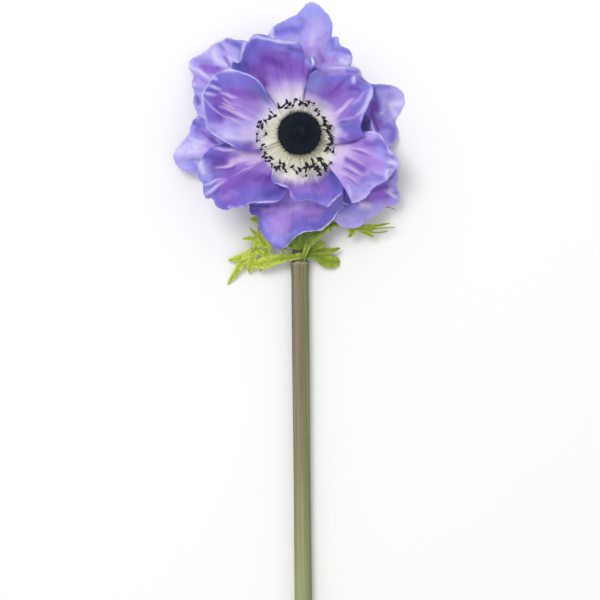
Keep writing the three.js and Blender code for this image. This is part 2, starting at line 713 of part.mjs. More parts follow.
function makeStamen(number, map) {
  const azimuth = ((number + 0.5 * draw(number)) * 2 * Math.PI) / STAMEN_COUNT;
  const reach = STAMEN_ROWS[number % 2] + 0.7 * (draw(number + 50) - 0.5);
  const rise = STAMEN_RISE + 1.2 * (draw(number + 90) - 0.5);
  const foot = onAxis((HUB_TOP + HUB_BOTTOM) / 2);
  const out = new THREE.Vector3(Math.cos(azimuth), Math.sin(azimuth), 0);
  const stations = [
    [FILAMENT_FOOT, FILAMENT_RADIUS],
    [7.6, FILAMENT_RADIUS],
    [reach - 3.4, FILAMENT_RADIUS],
    [reach - ANTHER_LENGTH * 0.5, ANTHER_RADIUS * 0.6],
    [reach, ANTHER_RADIUS],
    [reach + ANTHER_LENGTH * 0.4, ANTHER_RADIUS * 0.7],
  ];
  const place = (radius) => {
    const f = Math.max((radius - FILAMENT_FOOT) / (reach - FILAMENT_FOOT), 0);
    const point = foot.clone().addScaledVector(out, radius);
    point.x += STAMEN_RING_OFFSET.x * f;
    point.y += STAMEN_RING_OFFSET.y * f;
    const level = rise * f ** 1.4 - BLOOM_TILT_X * (point.x - foot.x) - BLOOM_TILT_Y * (point.y - foot.y);
    const least = radius > HUB_RADIUS ? map.under(point.x, point.y) + CLEARANCE + ANTHER_RADIUS : NOTHING;
    point.z = smoothMax(foot.z + level, least, 0.5);
    return point;
  };
  const rings = stations.map(([radius, thickness]) => {
    const direction = place(radius + 0.4).sub(place(radius - 0.4)).normalize();
    return ringAt(place(radius), direction, thickness, STAMEN_SIDES);
  });
  return throughRings(rings, place(FILAMENT_FOOT - 0.2), place(reach + ANTHER_LENGTH * 0.5));
}

function makeStamens(map) {
  const pieces = [makeHub()];
  for (let number = 0; number < STAMEN_COUNT; number++) pieces.push(makeStamen(number, map));
  return fuse(pieces);
}

// Bracts

// One lobe: a thin blade along its midrib, folded up a little on both sides of it.
function makeLobe(stations) {
  const midrib = new THREE.CatmullRomCurve3(stations.map(([x, y, z]) => new THREE.Vector3(x, y, z)));
  const widths = stations.map(([, , , width]) => width);
  const top = [];
  const bottom = [];
  for (let row = 0; row <= LOBE_ROWS; row++) {
    const t = row / LOBE_ROWS;
    const point = midrib.getPoint(t);
    const direction = midrib.getTangent(t);
    const aside = new THREE.Vector3(-direction.y, direction.x, 0).normalize();
    const half = alongLevels(widths, t);
    const edges = [-half, 0, half].map((offset) => {
      const edge = point.clone().addScaledVector(aside, offset);
      edge.z += BRACT_FOLD * Math.abs(offset);
      return edge;
    });
    const low = edges.map((edge) => Math.max(edge.z - BRACT_THICKNESS / 2, 0));
    bottom.push(edges.map((edge, k) => new THREE.Vector3(edge.x, edge.y, low[k])));
    top.push(edges.map((edge, k) => new THREE.Vector3(edge.x, edge.y, low[k] + BRACT_THICKNESS)));
  }
  return blade(top, bottom);
}

function makeBracts(map) {
  return BRACTS.map((bract) => {
    const geometry = fuse(bract.lobes.map(makeLobe));
    map.add(geometry);
    return { name: bract.name, geometry };
  });
}

// The flower

function makeFlower() {
  const map = new HeightMap();
  const stem = makeStem();
  const bracts = makeBracts(map);
  const outer = makePetals(OUTER_PETALS, OUTER_CLAW_LEVEL, map);
  const inner = makePetals(INNER_PETALS, INNER_CLAW_LEVEL, map);
  map.settle();
  const stamens = makeStamens(map);
  const carpels = makeCarpels();
  const pieces = [
    { name: "stem", geometry: stem, look: COLOURS.stem },
    ...bracts.map((piece) => ({ ...piece, look: COLOURS.bract })),
    ...outer.map((piece) => ({ ...piece, look: COLOURS.outer })),
    ...inner.map((piece) => ({ ...piece, look: COLOURS.inner })),
    { name: "stamens", geometry: stamens, look: COLOURS.dark },
    { name: "carpel_head", geometry: carpels, look: COLOURS.dark },
  ];
  const flower = new THREE.Group();
  for (const piece of pieces) {
    const mesh = new THREE.Mesh(piece.geometry, new THREE.MeshStandardMaterial(piece.look));
    mesh.name = piece.name;
    flower.add(mesh);
  }
  const box = new THREE.Box3().setFromObject(flower);
  flower.position.set(-(box.min.x + box.max.x) / 2, -(box.min.y + box.max.y) / 2, -box.min.z);
  const part = new THREE.Group();
  part.add(flower);
  return part;
}

export default makeFlower();
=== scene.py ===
"""Anemone flower, cut and laid on its back: its finished surfaces, colours, floor, light and camera.

Shapes are worked out in millimetres in the bloom's own frame, where the bloom's axis crosses X = 0, Y = 0
and the surface that the flower lies on is Z = 0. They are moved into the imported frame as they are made.
"""

import math
from dataclasses import dataclass

import bpy
import numpy as np
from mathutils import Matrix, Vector


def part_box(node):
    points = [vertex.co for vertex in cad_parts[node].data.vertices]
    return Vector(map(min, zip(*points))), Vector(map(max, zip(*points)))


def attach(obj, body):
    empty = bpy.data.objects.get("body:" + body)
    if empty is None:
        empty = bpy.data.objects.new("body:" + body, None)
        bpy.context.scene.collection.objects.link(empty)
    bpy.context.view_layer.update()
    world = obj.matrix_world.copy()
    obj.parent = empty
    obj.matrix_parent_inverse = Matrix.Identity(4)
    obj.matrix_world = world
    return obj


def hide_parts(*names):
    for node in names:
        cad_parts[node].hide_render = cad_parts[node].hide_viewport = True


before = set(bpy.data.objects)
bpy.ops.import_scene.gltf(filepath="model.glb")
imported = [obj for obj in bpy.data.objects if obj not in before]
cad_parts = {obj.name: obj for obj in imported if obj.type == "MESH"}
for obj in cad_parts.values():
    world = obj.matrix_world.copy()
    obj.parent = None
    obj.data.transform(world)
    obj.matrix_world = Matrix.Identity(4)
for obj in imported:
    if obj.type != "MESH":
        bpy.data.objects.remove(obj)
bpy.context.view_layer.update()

bl_info = {
    "name": "Anemone flower",
    "version": (1, 0, 0),
    "blender": (4, 5, 0),
    "location": "View3D > Sidebar > Anemone",
    "description": "Petals, stamens, carpel head, leaves and stem of a cut anemone",
    "category": "Add Mesh",
}

MM = 0.001

# The flower's form

BLOOM_HEIGHT = 20  # of the bloom's centre over the surface
BLOOM_TILT = np.array([0.09, 0.192])  # fall of the bloom's plane per mm along X and Y
BLOOM_AXIS = np.array([*BLOOM_TILT, 1]) / math.hypot(*BLOOM_TILT, 1)
OUTER_CLAW_LEVEL = -7.8  # from the bloom's centre, along its axis
INNER_CLAW_LEVEL = -4.7
CLAW_HALF_WIDTH = 2.2
CLAW_REACH = 5.55

STEM_RADIUS = 3.45
STEM_AXIS_HEIGHT = STEM_RADIUS * math.cos(math.pi / 14)
STEM_CUT_Y = -246
STEM_CUT_SLANT = 0.35
STEM_DRIFT = 0.0104  # to the right, per mm down from the collar
STEM_RIBS = [(9, 0.035, 0), (23, 0.02, 1)]  # count, depth and phase
COLLAR_Y = -50.4
COLLAR_X = 1.1
COLLAR_FLARE = 0.3
COLLAR_SCALLOP = 0.28
COLLAR_TEETH = 7
PEDICEL_RADIUS = 2.9
PEDICEL_TOP_X = 0.4
BEND_START_Y = -15
BEND_START_REACH = np.array([-0.3, 8.5, 0])
BEND_END_LEVEL = OUTER_CLAW_LEVEL - 1.6
BEND_END_REACH = 5.9
RECEPTACLE_RADIUS = 5
RECEPTACLE_TOP = -0.5
NECK_RADIUS = 3.9
NECK_TOP = 2

DOME_OFFSET = np.array([0.5, 0, 0])
DOME_RADIUS = 8.4
DOME_FOOT = 2.3
DOME_HEIGHT = 7.8
DOME_PROFILE = [(0.56, 0), (0.86, 0.12), (1, 0.34), (0.94, 0.6), (0.7, 0.83), (0.36, 0.96), (0.02, 1)]

HUB_RADIUS = 6.1
HUB_HOLE = 4.2
HUB_BOTTOM = RECEPTACLE_TOP + 0.4
HUB_TOP = HUB_BOTTOM + 1.4
HUB_MIDDLE = (HUB_TOP + HUB_BOTTOM) / 2
FILAMENT_FOOT = 5.3
STAMEN_REACH = 14
STAMEN_RISE = 3.4

# Rings: the cut's face as shares of the radius, the collar as Y from it and radius, the rest as level and
# radius.
CUT_RINGS = [0, 0.45, 0.8, 0.93, 0.985]
COLLAR_RINGS = [(-1, 3.75), (-0.4, 3.78), (0, 3.7), (0.12, 3.45), (0.2, 3.1), (0.5, PEDICEL_RADIUS)]
RECEPTACLE_RINGS = [
    (OUTER_CLAW_LEVEL - 0.6, RECEPTACLE_RADIUS - 0.6), (OUTER_CLAW_LEVEL - 0.1, RECEPTACLE_RADIUS - 0.2),
    (OUTER_CLAW_LEVEL + 0.4, RECEPTACLE_RADIUS), (RECEPTACLE_TOP - 0.6, RECEPTACLE_RADIUS),
    (RECEPTACLE_TOP, RECEPTACLE_RADIUS - 0.6), (RECEPTACLE_TOP + 0.1, NECK_RADIUS),
    (NECK_TOP - 0.3, NECK_RADIUS), (NECK_TOP, NECK_RADIUS - 0.3), (NECK_TOP, 0),
]
HUB_RINGS = [
    (HUB_BOTTOM, HUB_HOLE), (HUB_BOTTOM, HUB_RADIUS - 0.6), (HUB_MIDDLE, HUB_RADIUS),
    (HUB_TOP, HUB_RADIUS - 0.5), (HUB_TOP, HUB_HOLE),
]

BRACT_FOLD = 0.22  # rise of a lobe's edges per mm from its midrib

NOTHING = -99  # the height where nothing lies yet
NARROW = 1.45  # strokes of colour that are narrower, in mm, taper
STROKE_FALL = 2.8  # how fast a stroke fades away from its path


@dataclass
class Petal:
    """A petal, in millimetres and degrees. Its strokes are soft streaks of colour, laid one over another in
    their order: tone, width, strength, and the places that the streak runs through, as X and Y. Some are
    painted shade under other petals' margins and in grooves, and some painted highlight on rims and ridges."""

    name: str
    azimuth: float
    levels: tuple  # heights over the bloom's tilted plane: claw, one third, two thirds, margin
    cup: float  # rise of its sides at the margin; below 0, they fall
    pleats: tuple  # count, depth and phase
    ruffle: tuple  # count, depth and phase of the waves at its margin
    ground: tuple  # its tones near the eye, halfway out and at the margin
    margin: list  # anticlockwise from one shoulder to the other
    strokes: list
    eye: tuple = (17, 3)  # where its white zone ends, and how softly
    swell: tuple = (0.72, 0.72)  # at the margin's start and past its middle; below 1, it widens early


# Both rows of petals go from the lowest to the topmost.

OUTER_PETALS = [
    Petal(
        "petal_outer_right_lower", azimuth=315, levels=(0, 0.6, -1.6, -6), cup=-1, pleats=(4, 0.5, 0.3),
        ruffle=(4, 0.9, 1.2), ground=("indigo", "blue", "lilac"),
        margin=[
            (9, -22), (11, -28), (14, -32.6), (17.2, -35.8), (21.2, -36.8), (24.8, -36.4), (28, -34),
            (31.2, -32), (34.8, -29), (36.4, -28.1), (39.6, -27.6), (41, -25.4), (40.8, -22.4), (40, -19.8),
            (40.7, -17), (40.2, -13), (40.4, -10), (38, -5.6), (32, -3.4),
        ],
        strokes=[
            ("steel", 4, 0.35, (18, -30), (27, -31)), ("sky", 3, 0.6, (24, -29.6), (32, -28)),
            ("lilac", 3, 0.6, (17, -32), (23, -34)), ("violet", 3, 0.85, (29, -25), (36, -24)),
            ("mauve", 2.6, 0.6, (33, -26), (38, -26.4)), ("violet", 2.2, 1, (30.4, -22.4), (35, -20)),
            ("plum", 1.8, 0.5, (31.4, -21.6), (35, -20)),
            ("orchid", 2, 0.95, (28.4, -25), (31.6, -23.8), (34.6, -22.8)),
            ("mauve", 1.5, 0.5, (28.4, -25), (31, -23)),
            # Painted shade in the gap between the inner bottom and inner right lower petals, with the steel
            # stroke below.
            ("indigo", 2.2, 0.95, (19, -18.6), (19.6, -22), (20.2, -26)),
            ("steel", 1, 0.5, (19.6, -22), (20.4, -26.4)),
            ("indigo", 1.4, 0.9, (16.6, -26.8), (21.6, -27.2)),
            # Painted shadow under the inner right lower petal's margin.
            ("indigo", 0.8, 0.6, (21, -27.2), (25, -26.9), (28.4, -25), (30.4, -22)),
            ("pink", 2.4, 0.75, (26, -27.6), (29.4, -28.2)),
            ("white", 1.6, 0.35, (26.4, -27.6), (28.4, -27.9)),
            ("pink", 1.4, 0.8, (36, -21.2), (38.6, -22)), ("steel", 1.1, 0.7, (38.6, -22.8), (40.8, -22.8)),
            ("pale", 0.9, 0.95, (34.6, -21.4), (37, -22.6), (39, -24.2), (41.2, -25)),
            ("lilac", 1.1, 0.8, (39.4, -15.4), (40.4, -18)),
            ("indigo", 1.1, 0.85, (39.4, -13), (38.6, -16), (36, -19)),
            ("pale", 0.7, 0.8, (15.6, -25.2), (18, -26.4), (21, -27.4)),
            ("pale", 0.6, 0.7, (15.8, -30.4), (17.4, -28.8), (18.8, -27.4)),
            ("steel", 1.2, 0.8, (38.5, -6.5), (40.6, -12)),
        ],
    ),
    Petal(
        "petal_outer_top", azimuth=84, levels=(0, 0.4, -1.2, -4.6), cup=0.6, pleats=(5, 0.6, 0),
        ruffle=(4, 0.8, 0.6), ground=("mauve", "lilac", "sky"),
        margin=[
            (19.2, 19), (20.8, 24), (21.4, 28), (22, 30), (22.1, 32.4), (21.5, 34.1), (20, 35.5),
            (18.4, 36.2), (17.2, 37), (16.8, 38.4), (16.6, 39.8), (15.8, 40.4), (14.8, 40), (14, 39.9),
            (13.9, 41), (14.2, 44), (13.9, 46), (13.1, 48), (12, 49.3), (10.4, 51.1), (9, 52.5),
            (7.4, 53.6), (5.8, 53.9), (4, 53.4), (2.6, 52), (1.4, 50.5), (0, 49.1), (-2, 48.1), (-4, 47.1),
            (-6.4, 45.9), (-8.4, 44.8), (-9.9, 43.8), (-11, 42.2), (-12, 40.4), (-13.2, 37.6), (-14, 31),
        ],
        strokes=[
            ("blue", 3.4, 0.95, (-8, 42), (-3, 43), (0, 42.6)),
            ("blue", 2.2, 0.6, (1.4, 47), (3, 46.4), (2, 43.8)), ("sky", 2.8, 0.85, (4.6, 50.4), (9, 50)),
            ("lilac", 3, 0.9, (6.4, 45), (6.6, 40)), ("lilac", 2.2, 0.7, (9, 46.4), (9.4, 42)),
            ("sky", 1.9, 0.85, (12.4, 46.4), (12.6, 41)), ("mauve", 2.2, 0.75, (5, 35.4), (10, 35)),
            ("pink", 1.6, 0.4, (6.8, 40.6), (5.4, 37)),
            ("mauve", 2.6, 0.85, (8.6, 31), (13, 30.6), (15.4, 31)),
            ("violet", 2.2, 0.7, (9, 33), (10.6, 30.4)),
            ("blue", 2.2, 0.65, (13.8, 38), (14.4, 35), (17, 34.6)),
            ("blue", 1.6, 0.75, (18.4, 34.8), (21.4, 33.4)), ("pale", 2, 0.85, (18.2, 30.4), (20.8, 29.2)),
            ("pale", 1.6, 0.6, (20.4, 32), (21.2, 30.4)),
            ("steel", 0.9, 0.8, (6.8, 32.4), (7.6, 30), (8.4, 28)),
            ("lilac", 1.1, 0.9, (2.2, 51.4), (4, 52.9), (6.4, 53.4), (8.6, 52.4)),
            ("white", 1.3, 0.9, (-12, 40.4), (-10.6, 42.4), (-9.6, 44.2)),
            ("pale", 1.5, 0.95, (-10.4, 42.2), (-9.6, 39.4)),
            ("indigo", 0.6, 0.5, (-9.2, 44.4), (-8.6, 42.6), (-8, 40)),
            ("lilac", 0.9, 0.8, (15.9, 40.4), (16.4, 38.6), (16.6, 36.8)),
            ("indigo", 0.8, 0.5, (14.2, 40), (14.6, 38.8), (14, 37)),
        ],
    ),
    Petal(
        "petal_outer_left", azimuth=189, levels=(0, 0.9, -2.6, -12), cup=-1, pleats=(4, 0.5, 1),
        ruffle=(3, 0.7, 0.4), ground=("plum", "lilac", "lilac"),
        margin=[
            (-27, 8.5), (-35.6, 9), (-39.4, 8.3), (-41.1, 7), (-42.3, 5.2), (-42.8, 3.4), (-43.1, 1.6),
            (-43.8, 0.4), (-45.4, -1.4), (-47, -3.4), (-48.7, -5.6), (-49.5, -8), (-49, -10.2),
            (-47.8, -12.1), (-46, -13.7), (-43.6, -14.7), (-41, -15.2), (-39.4, -15.6), (-34.8, -16),
            (-27, -15),
        ],
        strokes=[
            ("blue", 2.8, 1, (-41.4, 5.6), (-39, 4.4), (-40.6, 2)),
            ("indigo", 2.2, 0.3, (-41, 5.6), (-38.6, 4.8)), ("blue", 1.8, 0.7, (-38.4, 6.8), (-37, 3.6)),
            ("sky", 1.5, 0.8, (-42, 1.6), (-40, 0.6), (-39, -0.8)),
            ("violet", 2.2, 0.95, (-38, 1.8), (-36, 0), (-34, -1.6)),
            ("plum", 1.6, 0.9, (-34.4, -1), (-32.4, -3)), ("indigo", 1.5, 0.5, (-35, 2), (-33, -0.4)),
            ("pale", 4, 0.95, (-47, -5.4), (-41, -4.4)), ("steel", 2.2, 0.3, (-46, -9.4), (-42, -9.6)),
            ("pink", 2, 0.5, (-40, -6.2), (-37, -5)), ("mauve", 1.5, 0.8, (-36, -3.8), (-34.4, -4.6)),
            ("lilac", 2, 0.85, (-46.4, -11), (-44, -12.6)), ("sky", 2, 0.9, (-43.6, -11.4), (-41, -13.6)),
            ("blue", 1.5, 0.6, (-41.4, -11.6), (-39.6, -13.4)),
            ("steel", 1.5, 0.6, (-42.6, -9.7), (-39, -9.3)),
            ("pale", 1, 0.8, (-44, 0), (-41.6, -1.3), (-39, -2.2), (-35.6, -3.4)),
            ("steel", 0.8, 0.5, (-42.2, 6), (-43, 3), (-43.4, 0.8)),
        ],
    ),
    Petal(
        "petal_outer_bottom", azimuth=263, levels=(0, 0.9, -1.4, -6.5), cup=-1.4, pleats=(4, 0.6, 0.5),
        ruffle=(4, 0.9, 2), ground=("mauve", "mauve", "blue"),
        margin=[
            (-20.6, -20), (-19.6, -26.4), (-19.2, -28.6), (-18.8, -30.6), (-18, -31.7), (-16.2, -31.6),
            (-15.6, -33), (-15.4, -35.4), (-15, -37.2), (-14, -39.4), (-12.6, -41), (-10.9, -42.5),
            (-9.6, -44.1), (-8, -45), (-6.6, -45.3), (-4.8, -44.7), (-3.3, -43.4), (-1.9, -41.7),
            (-0.1, -40.1), (2, -38.9), (4, -38.3), (6, -38.1), (8, -38), (10, -37.9), (10.9, -37),
            (12.2, -35.6), (13.6, -34.5), (14.9, -33.2), (16.5, -30.5), (18, -28), (18.6, -23),
        ],
        strokes=[
            ("mauve", 3.6, 0.9, (-7, -31), (-6, -34), (-5, -37)),
            ("violet", 2, 0.5, (-12, -31), (-9, -31.4)), ("pink", 2.2, 0.35, (-2, -29.4), (2, -28.4)),
            ("mauve", 2.2, 0.8, (3, -30), (7, -28.8)), ("violet", 1.7, 0.7, (8, -28), (12, -29)),
            ("blue", 2, 0.9, (11, -31), (14.4, -31)), ("blue", 2, 0.95, (2, -34.8), (9, -34.8)),
            ("indigo", 1.6, 0.35, (4, -35.4), (9.4, -35.8)), ("violet", 1.5, 0.6, (2.6, -32.4), (8, -32)),
            ("blue", 1.5, 0.6, (-3, -37.8), (1, -35)), ("blue", 1.9, 0.5, (-14.6, -31.6), (-13.6, -36)),
            ("lilac", 1.6, 0.4, (-13.4, -34), (-11.6, -38)), ("sky", 2.6, 0.9, (-9.4, -41), (-6, -42.6)),
            ("sky", 2, 0.6, (-3.6, -40), (-1, -38.4)), ("steel", 2, 0.6, (-7, -26.2), (-3, -27.4)),
            # The indigo stroke here is painted shadow under the inner left lower petal's margin.
            ("indigo", 1.5, 1, (-20, -28), (-12, -28.1)), ("plum", 1.5, 0.5, (-12, -27.8), (-8, -27.6)),
            ("indigo", 1.5, 0.75, (-18.4, -30), (-15.6, -29.8)),
            (
                "white", 0.5, 0.9, (-5.6, -44.9), (-3, -42.9), (-0.8, -40.6), (2, -38.9), (6, -38),
                (9.6, -37.9),
            ),
            ("white", 0.7, 1, (7.6, -38), (10.4, -37.4), (12.4, -35.4), (14.6, -33.6), (16.4, -30)),
        ],
    ),
    Petal(
        "petal_outer_left_upper", azimuth=142, levels=(0, 0.6, -1.6, -6.5), cup=-0.6, pleats=(5, 0.7, 0.2),
        ruffle=(5, 0.9, 0), ground=("violet", "lilac", "lilac"),
        margin=[
            (-13, 29), (-16.4, 36), (-20, 38.3), (-22, 38.6), (-24, 38.8), (-25.6, 39), (-27, 39.5),
            (-28.5, 39.3), (-30, 38.3), (-32, 37.6), (-34, 36.6), (-36, 34.9), (-38, 33.2), (-40, 32.2),
            (-42, 31.4), (-43.1, 30), (-43.4, 28), (-42.8, 26.4), (-41.7, 24.7), (-41.6, 23), (-42.3, 20.9),
            (-41.8, 19.4), (-41.1, 17.2), (-41.3, 15.6), (-41.7, 14), (-41.2, 12), (-40.1, 9.9),
            (-38.8, 7.8), (-29, 3),
        ],
        strokes=[
            ("pale", 2.4, 0.9, (-36, 34.8), (-33.4, 34), (-32, 31), (-29.4, 28.6)),
            ("steel", 1.6, 0.9, (-31.2, 36.6), (-29.4, 34.8)), ("blue", 1.8, 0.8, (-28, 38.4), (-26.4, 38)),
            ("blue", 2.6, 1, (-25.2, 37.2), (-22.8, 36.6)),
            ("steel", 1.6, 0.8, (-22.4, 35.4), (-22.9, 31.4)),
            ("lilac", 1.5, 0.7, (-28.4, 35.6), (-25.8, 34.6), (-24.4, 32)),
            ("mauve", 1.5, 0.6, (-29.4, 33.4), (-27.4, 31)),
            ("plum", 0.9, 0.8, (-29.6, 32.4), (-28.4, 30.4), (-26.6, 27.4)),
            ("pale", 0.8, 0.9, (-27.6, 32.4), (-26.4, 29.8), (-25.6, 27)),
            ("pale", 0.8, 0.9, (-27.6, 32), (-25.4, 30.8), (-22.6, 29)),
            ("pale", 1, 0.9, (-20.6, 38.4), (-21.6, 35), (-22.8, 30.4)),
            ("blue", 2.4, 0.5, (-40.4, 30.4), (-35, 29.6)), ("violet", 2.4, 0.9, (-38, 28), (-32, 27)),
            ("plum", 2.1, 0.75, (-36.6, 26.3), (-33.2, 25.6)),
            ("orchid", 1.8, 0.7, (-36, 26.6), (-31.4, 26.2)),
            ("plum", 1.5, 0.5, (-32, 27.6), (-29.4, 27.2)),
            ("pale", 1.3, 0.8, (-43.4, 29.4), (-41.4, 26.8)),
            ("pale", 1.2, 0.95, (-43, 27.6), (-39.6, 26.4), (-37.4, 24.7), (-34.4, 22.8)),
            ("mauve", 1.7, 0.7, (-38.6, 23.2), (-36.4, 21.6)),
            ("steel", 1.8, 0.6, (-40.4, 19), (-37.6, 18.8)),
            ("steel", 0.7, 0.7, (-41.4, 25), (-41.2, 23.6), (-42, 21.6)),
            ("pale", 1.1, 0.8, (-42.4, 21), (-40, 20.5)), ("indigo", 1.9, 0.8, (-40.2, 16), (-39.6, 13.2)),
            ("lilac", 0.9, 0.8, (-41.4, 17.2), (-38, 16.6)), ("sky", 1.3, 0.9, (-41, 12.4), (-38.4, 8.6)),
        ],
    ),
    Petal(
        "petal_outer_right_upper", azimuth=19, levels=(0, 0.7, -2, -8.6), cup=-0.8, pleats=(5, 0.8, 0.9),
        ruffle=(4, 0.9, 2.6), ground=("violet", "blue", "lilac"),
        margin=[
            (24, -7), (33.2, -6.4), (36.9, -4.3), (38, -3.3), (39.5, -1.9), (40.3, 0), (40.4, 2), (39.9, 4),
            (39.4, 5.6), (40.1, 7.2), (41.2, 9), (42.3, 11.1), (43.1, 13.4), (43.1, 15.4), (42.4, 17.5),
            (41.2, 18.9), (39.4, 20), (37, 20.7), (34, 21), (31, 21), (29, 21.6), (27.1, 23), (26.1, 24.4),
            (25.5, 26), (24.4, 27.3), (23, 28), (21, 28.1), (18, 27.9), (14, 27.9), (12.4, 27.4), (10, 24),
        ],
        strokes=[
            ("blue", 2, 0.85, (30.6, 20.2), (36.4, 19.8)), ("steel", 1.6, 0.5, (31, 20), (35, 19.4)),
            ("lilac", 2.4, 0.85, (35, 15.4), (34.8, 9)), ("pale", 2.8, 1, (38, 12.8), (41.6, 13.4)),
            ("pale", 2, 0.85, (37.8, 11), (39.8, 8.2)), ("lilac", 1.5, 0.7, (39.6, 18.4), (42, 16.2)),
            ("blue", 2.8, 1, (36, 4.4), (38.4, 3), (38, -1)), ("violet", 1.9, 0.85, (33.2, 6), (34.8, 3.6)),
            ("indigo", 1.7, 0.95, (30.8, 19), (31.6, 15.6)),
            ("plum", 2.2, 1, (30.6, 13.4), (30, 8.6), (31, 6), (32.4, 3)),
            # The navy strokes here are painted shade in the hollow beside the inner right upper petal's edge.
            ("plum", 1.6, 0.85, (31.6, 14), (32, 10)), ("navy", 1.9, 1, (27.2, 7.6), (26.8, 4), (27.6, 1)),
            ("navy", 1.5, 0.9, (28.4, 6.4), (28.7, 2.6)),
            ("blue", 0.9, 0.8, (29.4, 4.4), (29.8, 2.8), (29.6, 0.6)),
            ("pale", 0.7, 0.95, (29.5, 6.8), (30.2, 3.6), (32.2, 0)),
            ("pale", 0.9, 0.8, (33, 9.4), (33.9, 9.2), (34.8, 9.2)),
            ("steel", 0.9, 0.8, (38.4, 7), (39.2, 5.4), (40, 4)),
            ("mauve", 1.5, 0.85, (12, 26), (17, 26.2)), ("blue", 1.6, 0.85, (20, 26.2), (24, 25.8)),
            ("indigo", 1.1, 0.75, (23.6, 24.6), (25.8, 22.8), (28.4, 21)),
            ("steel", 0.9, 0.9, (10.2, 25.6), (11.6, 25.4), (13, 25)),
            ("pink", 0.8, 0.95, (11.6, 26.8), (13.4, 27.5), (16.4, 27.7), (20.6, 27.6)),
        ],
    ),
]

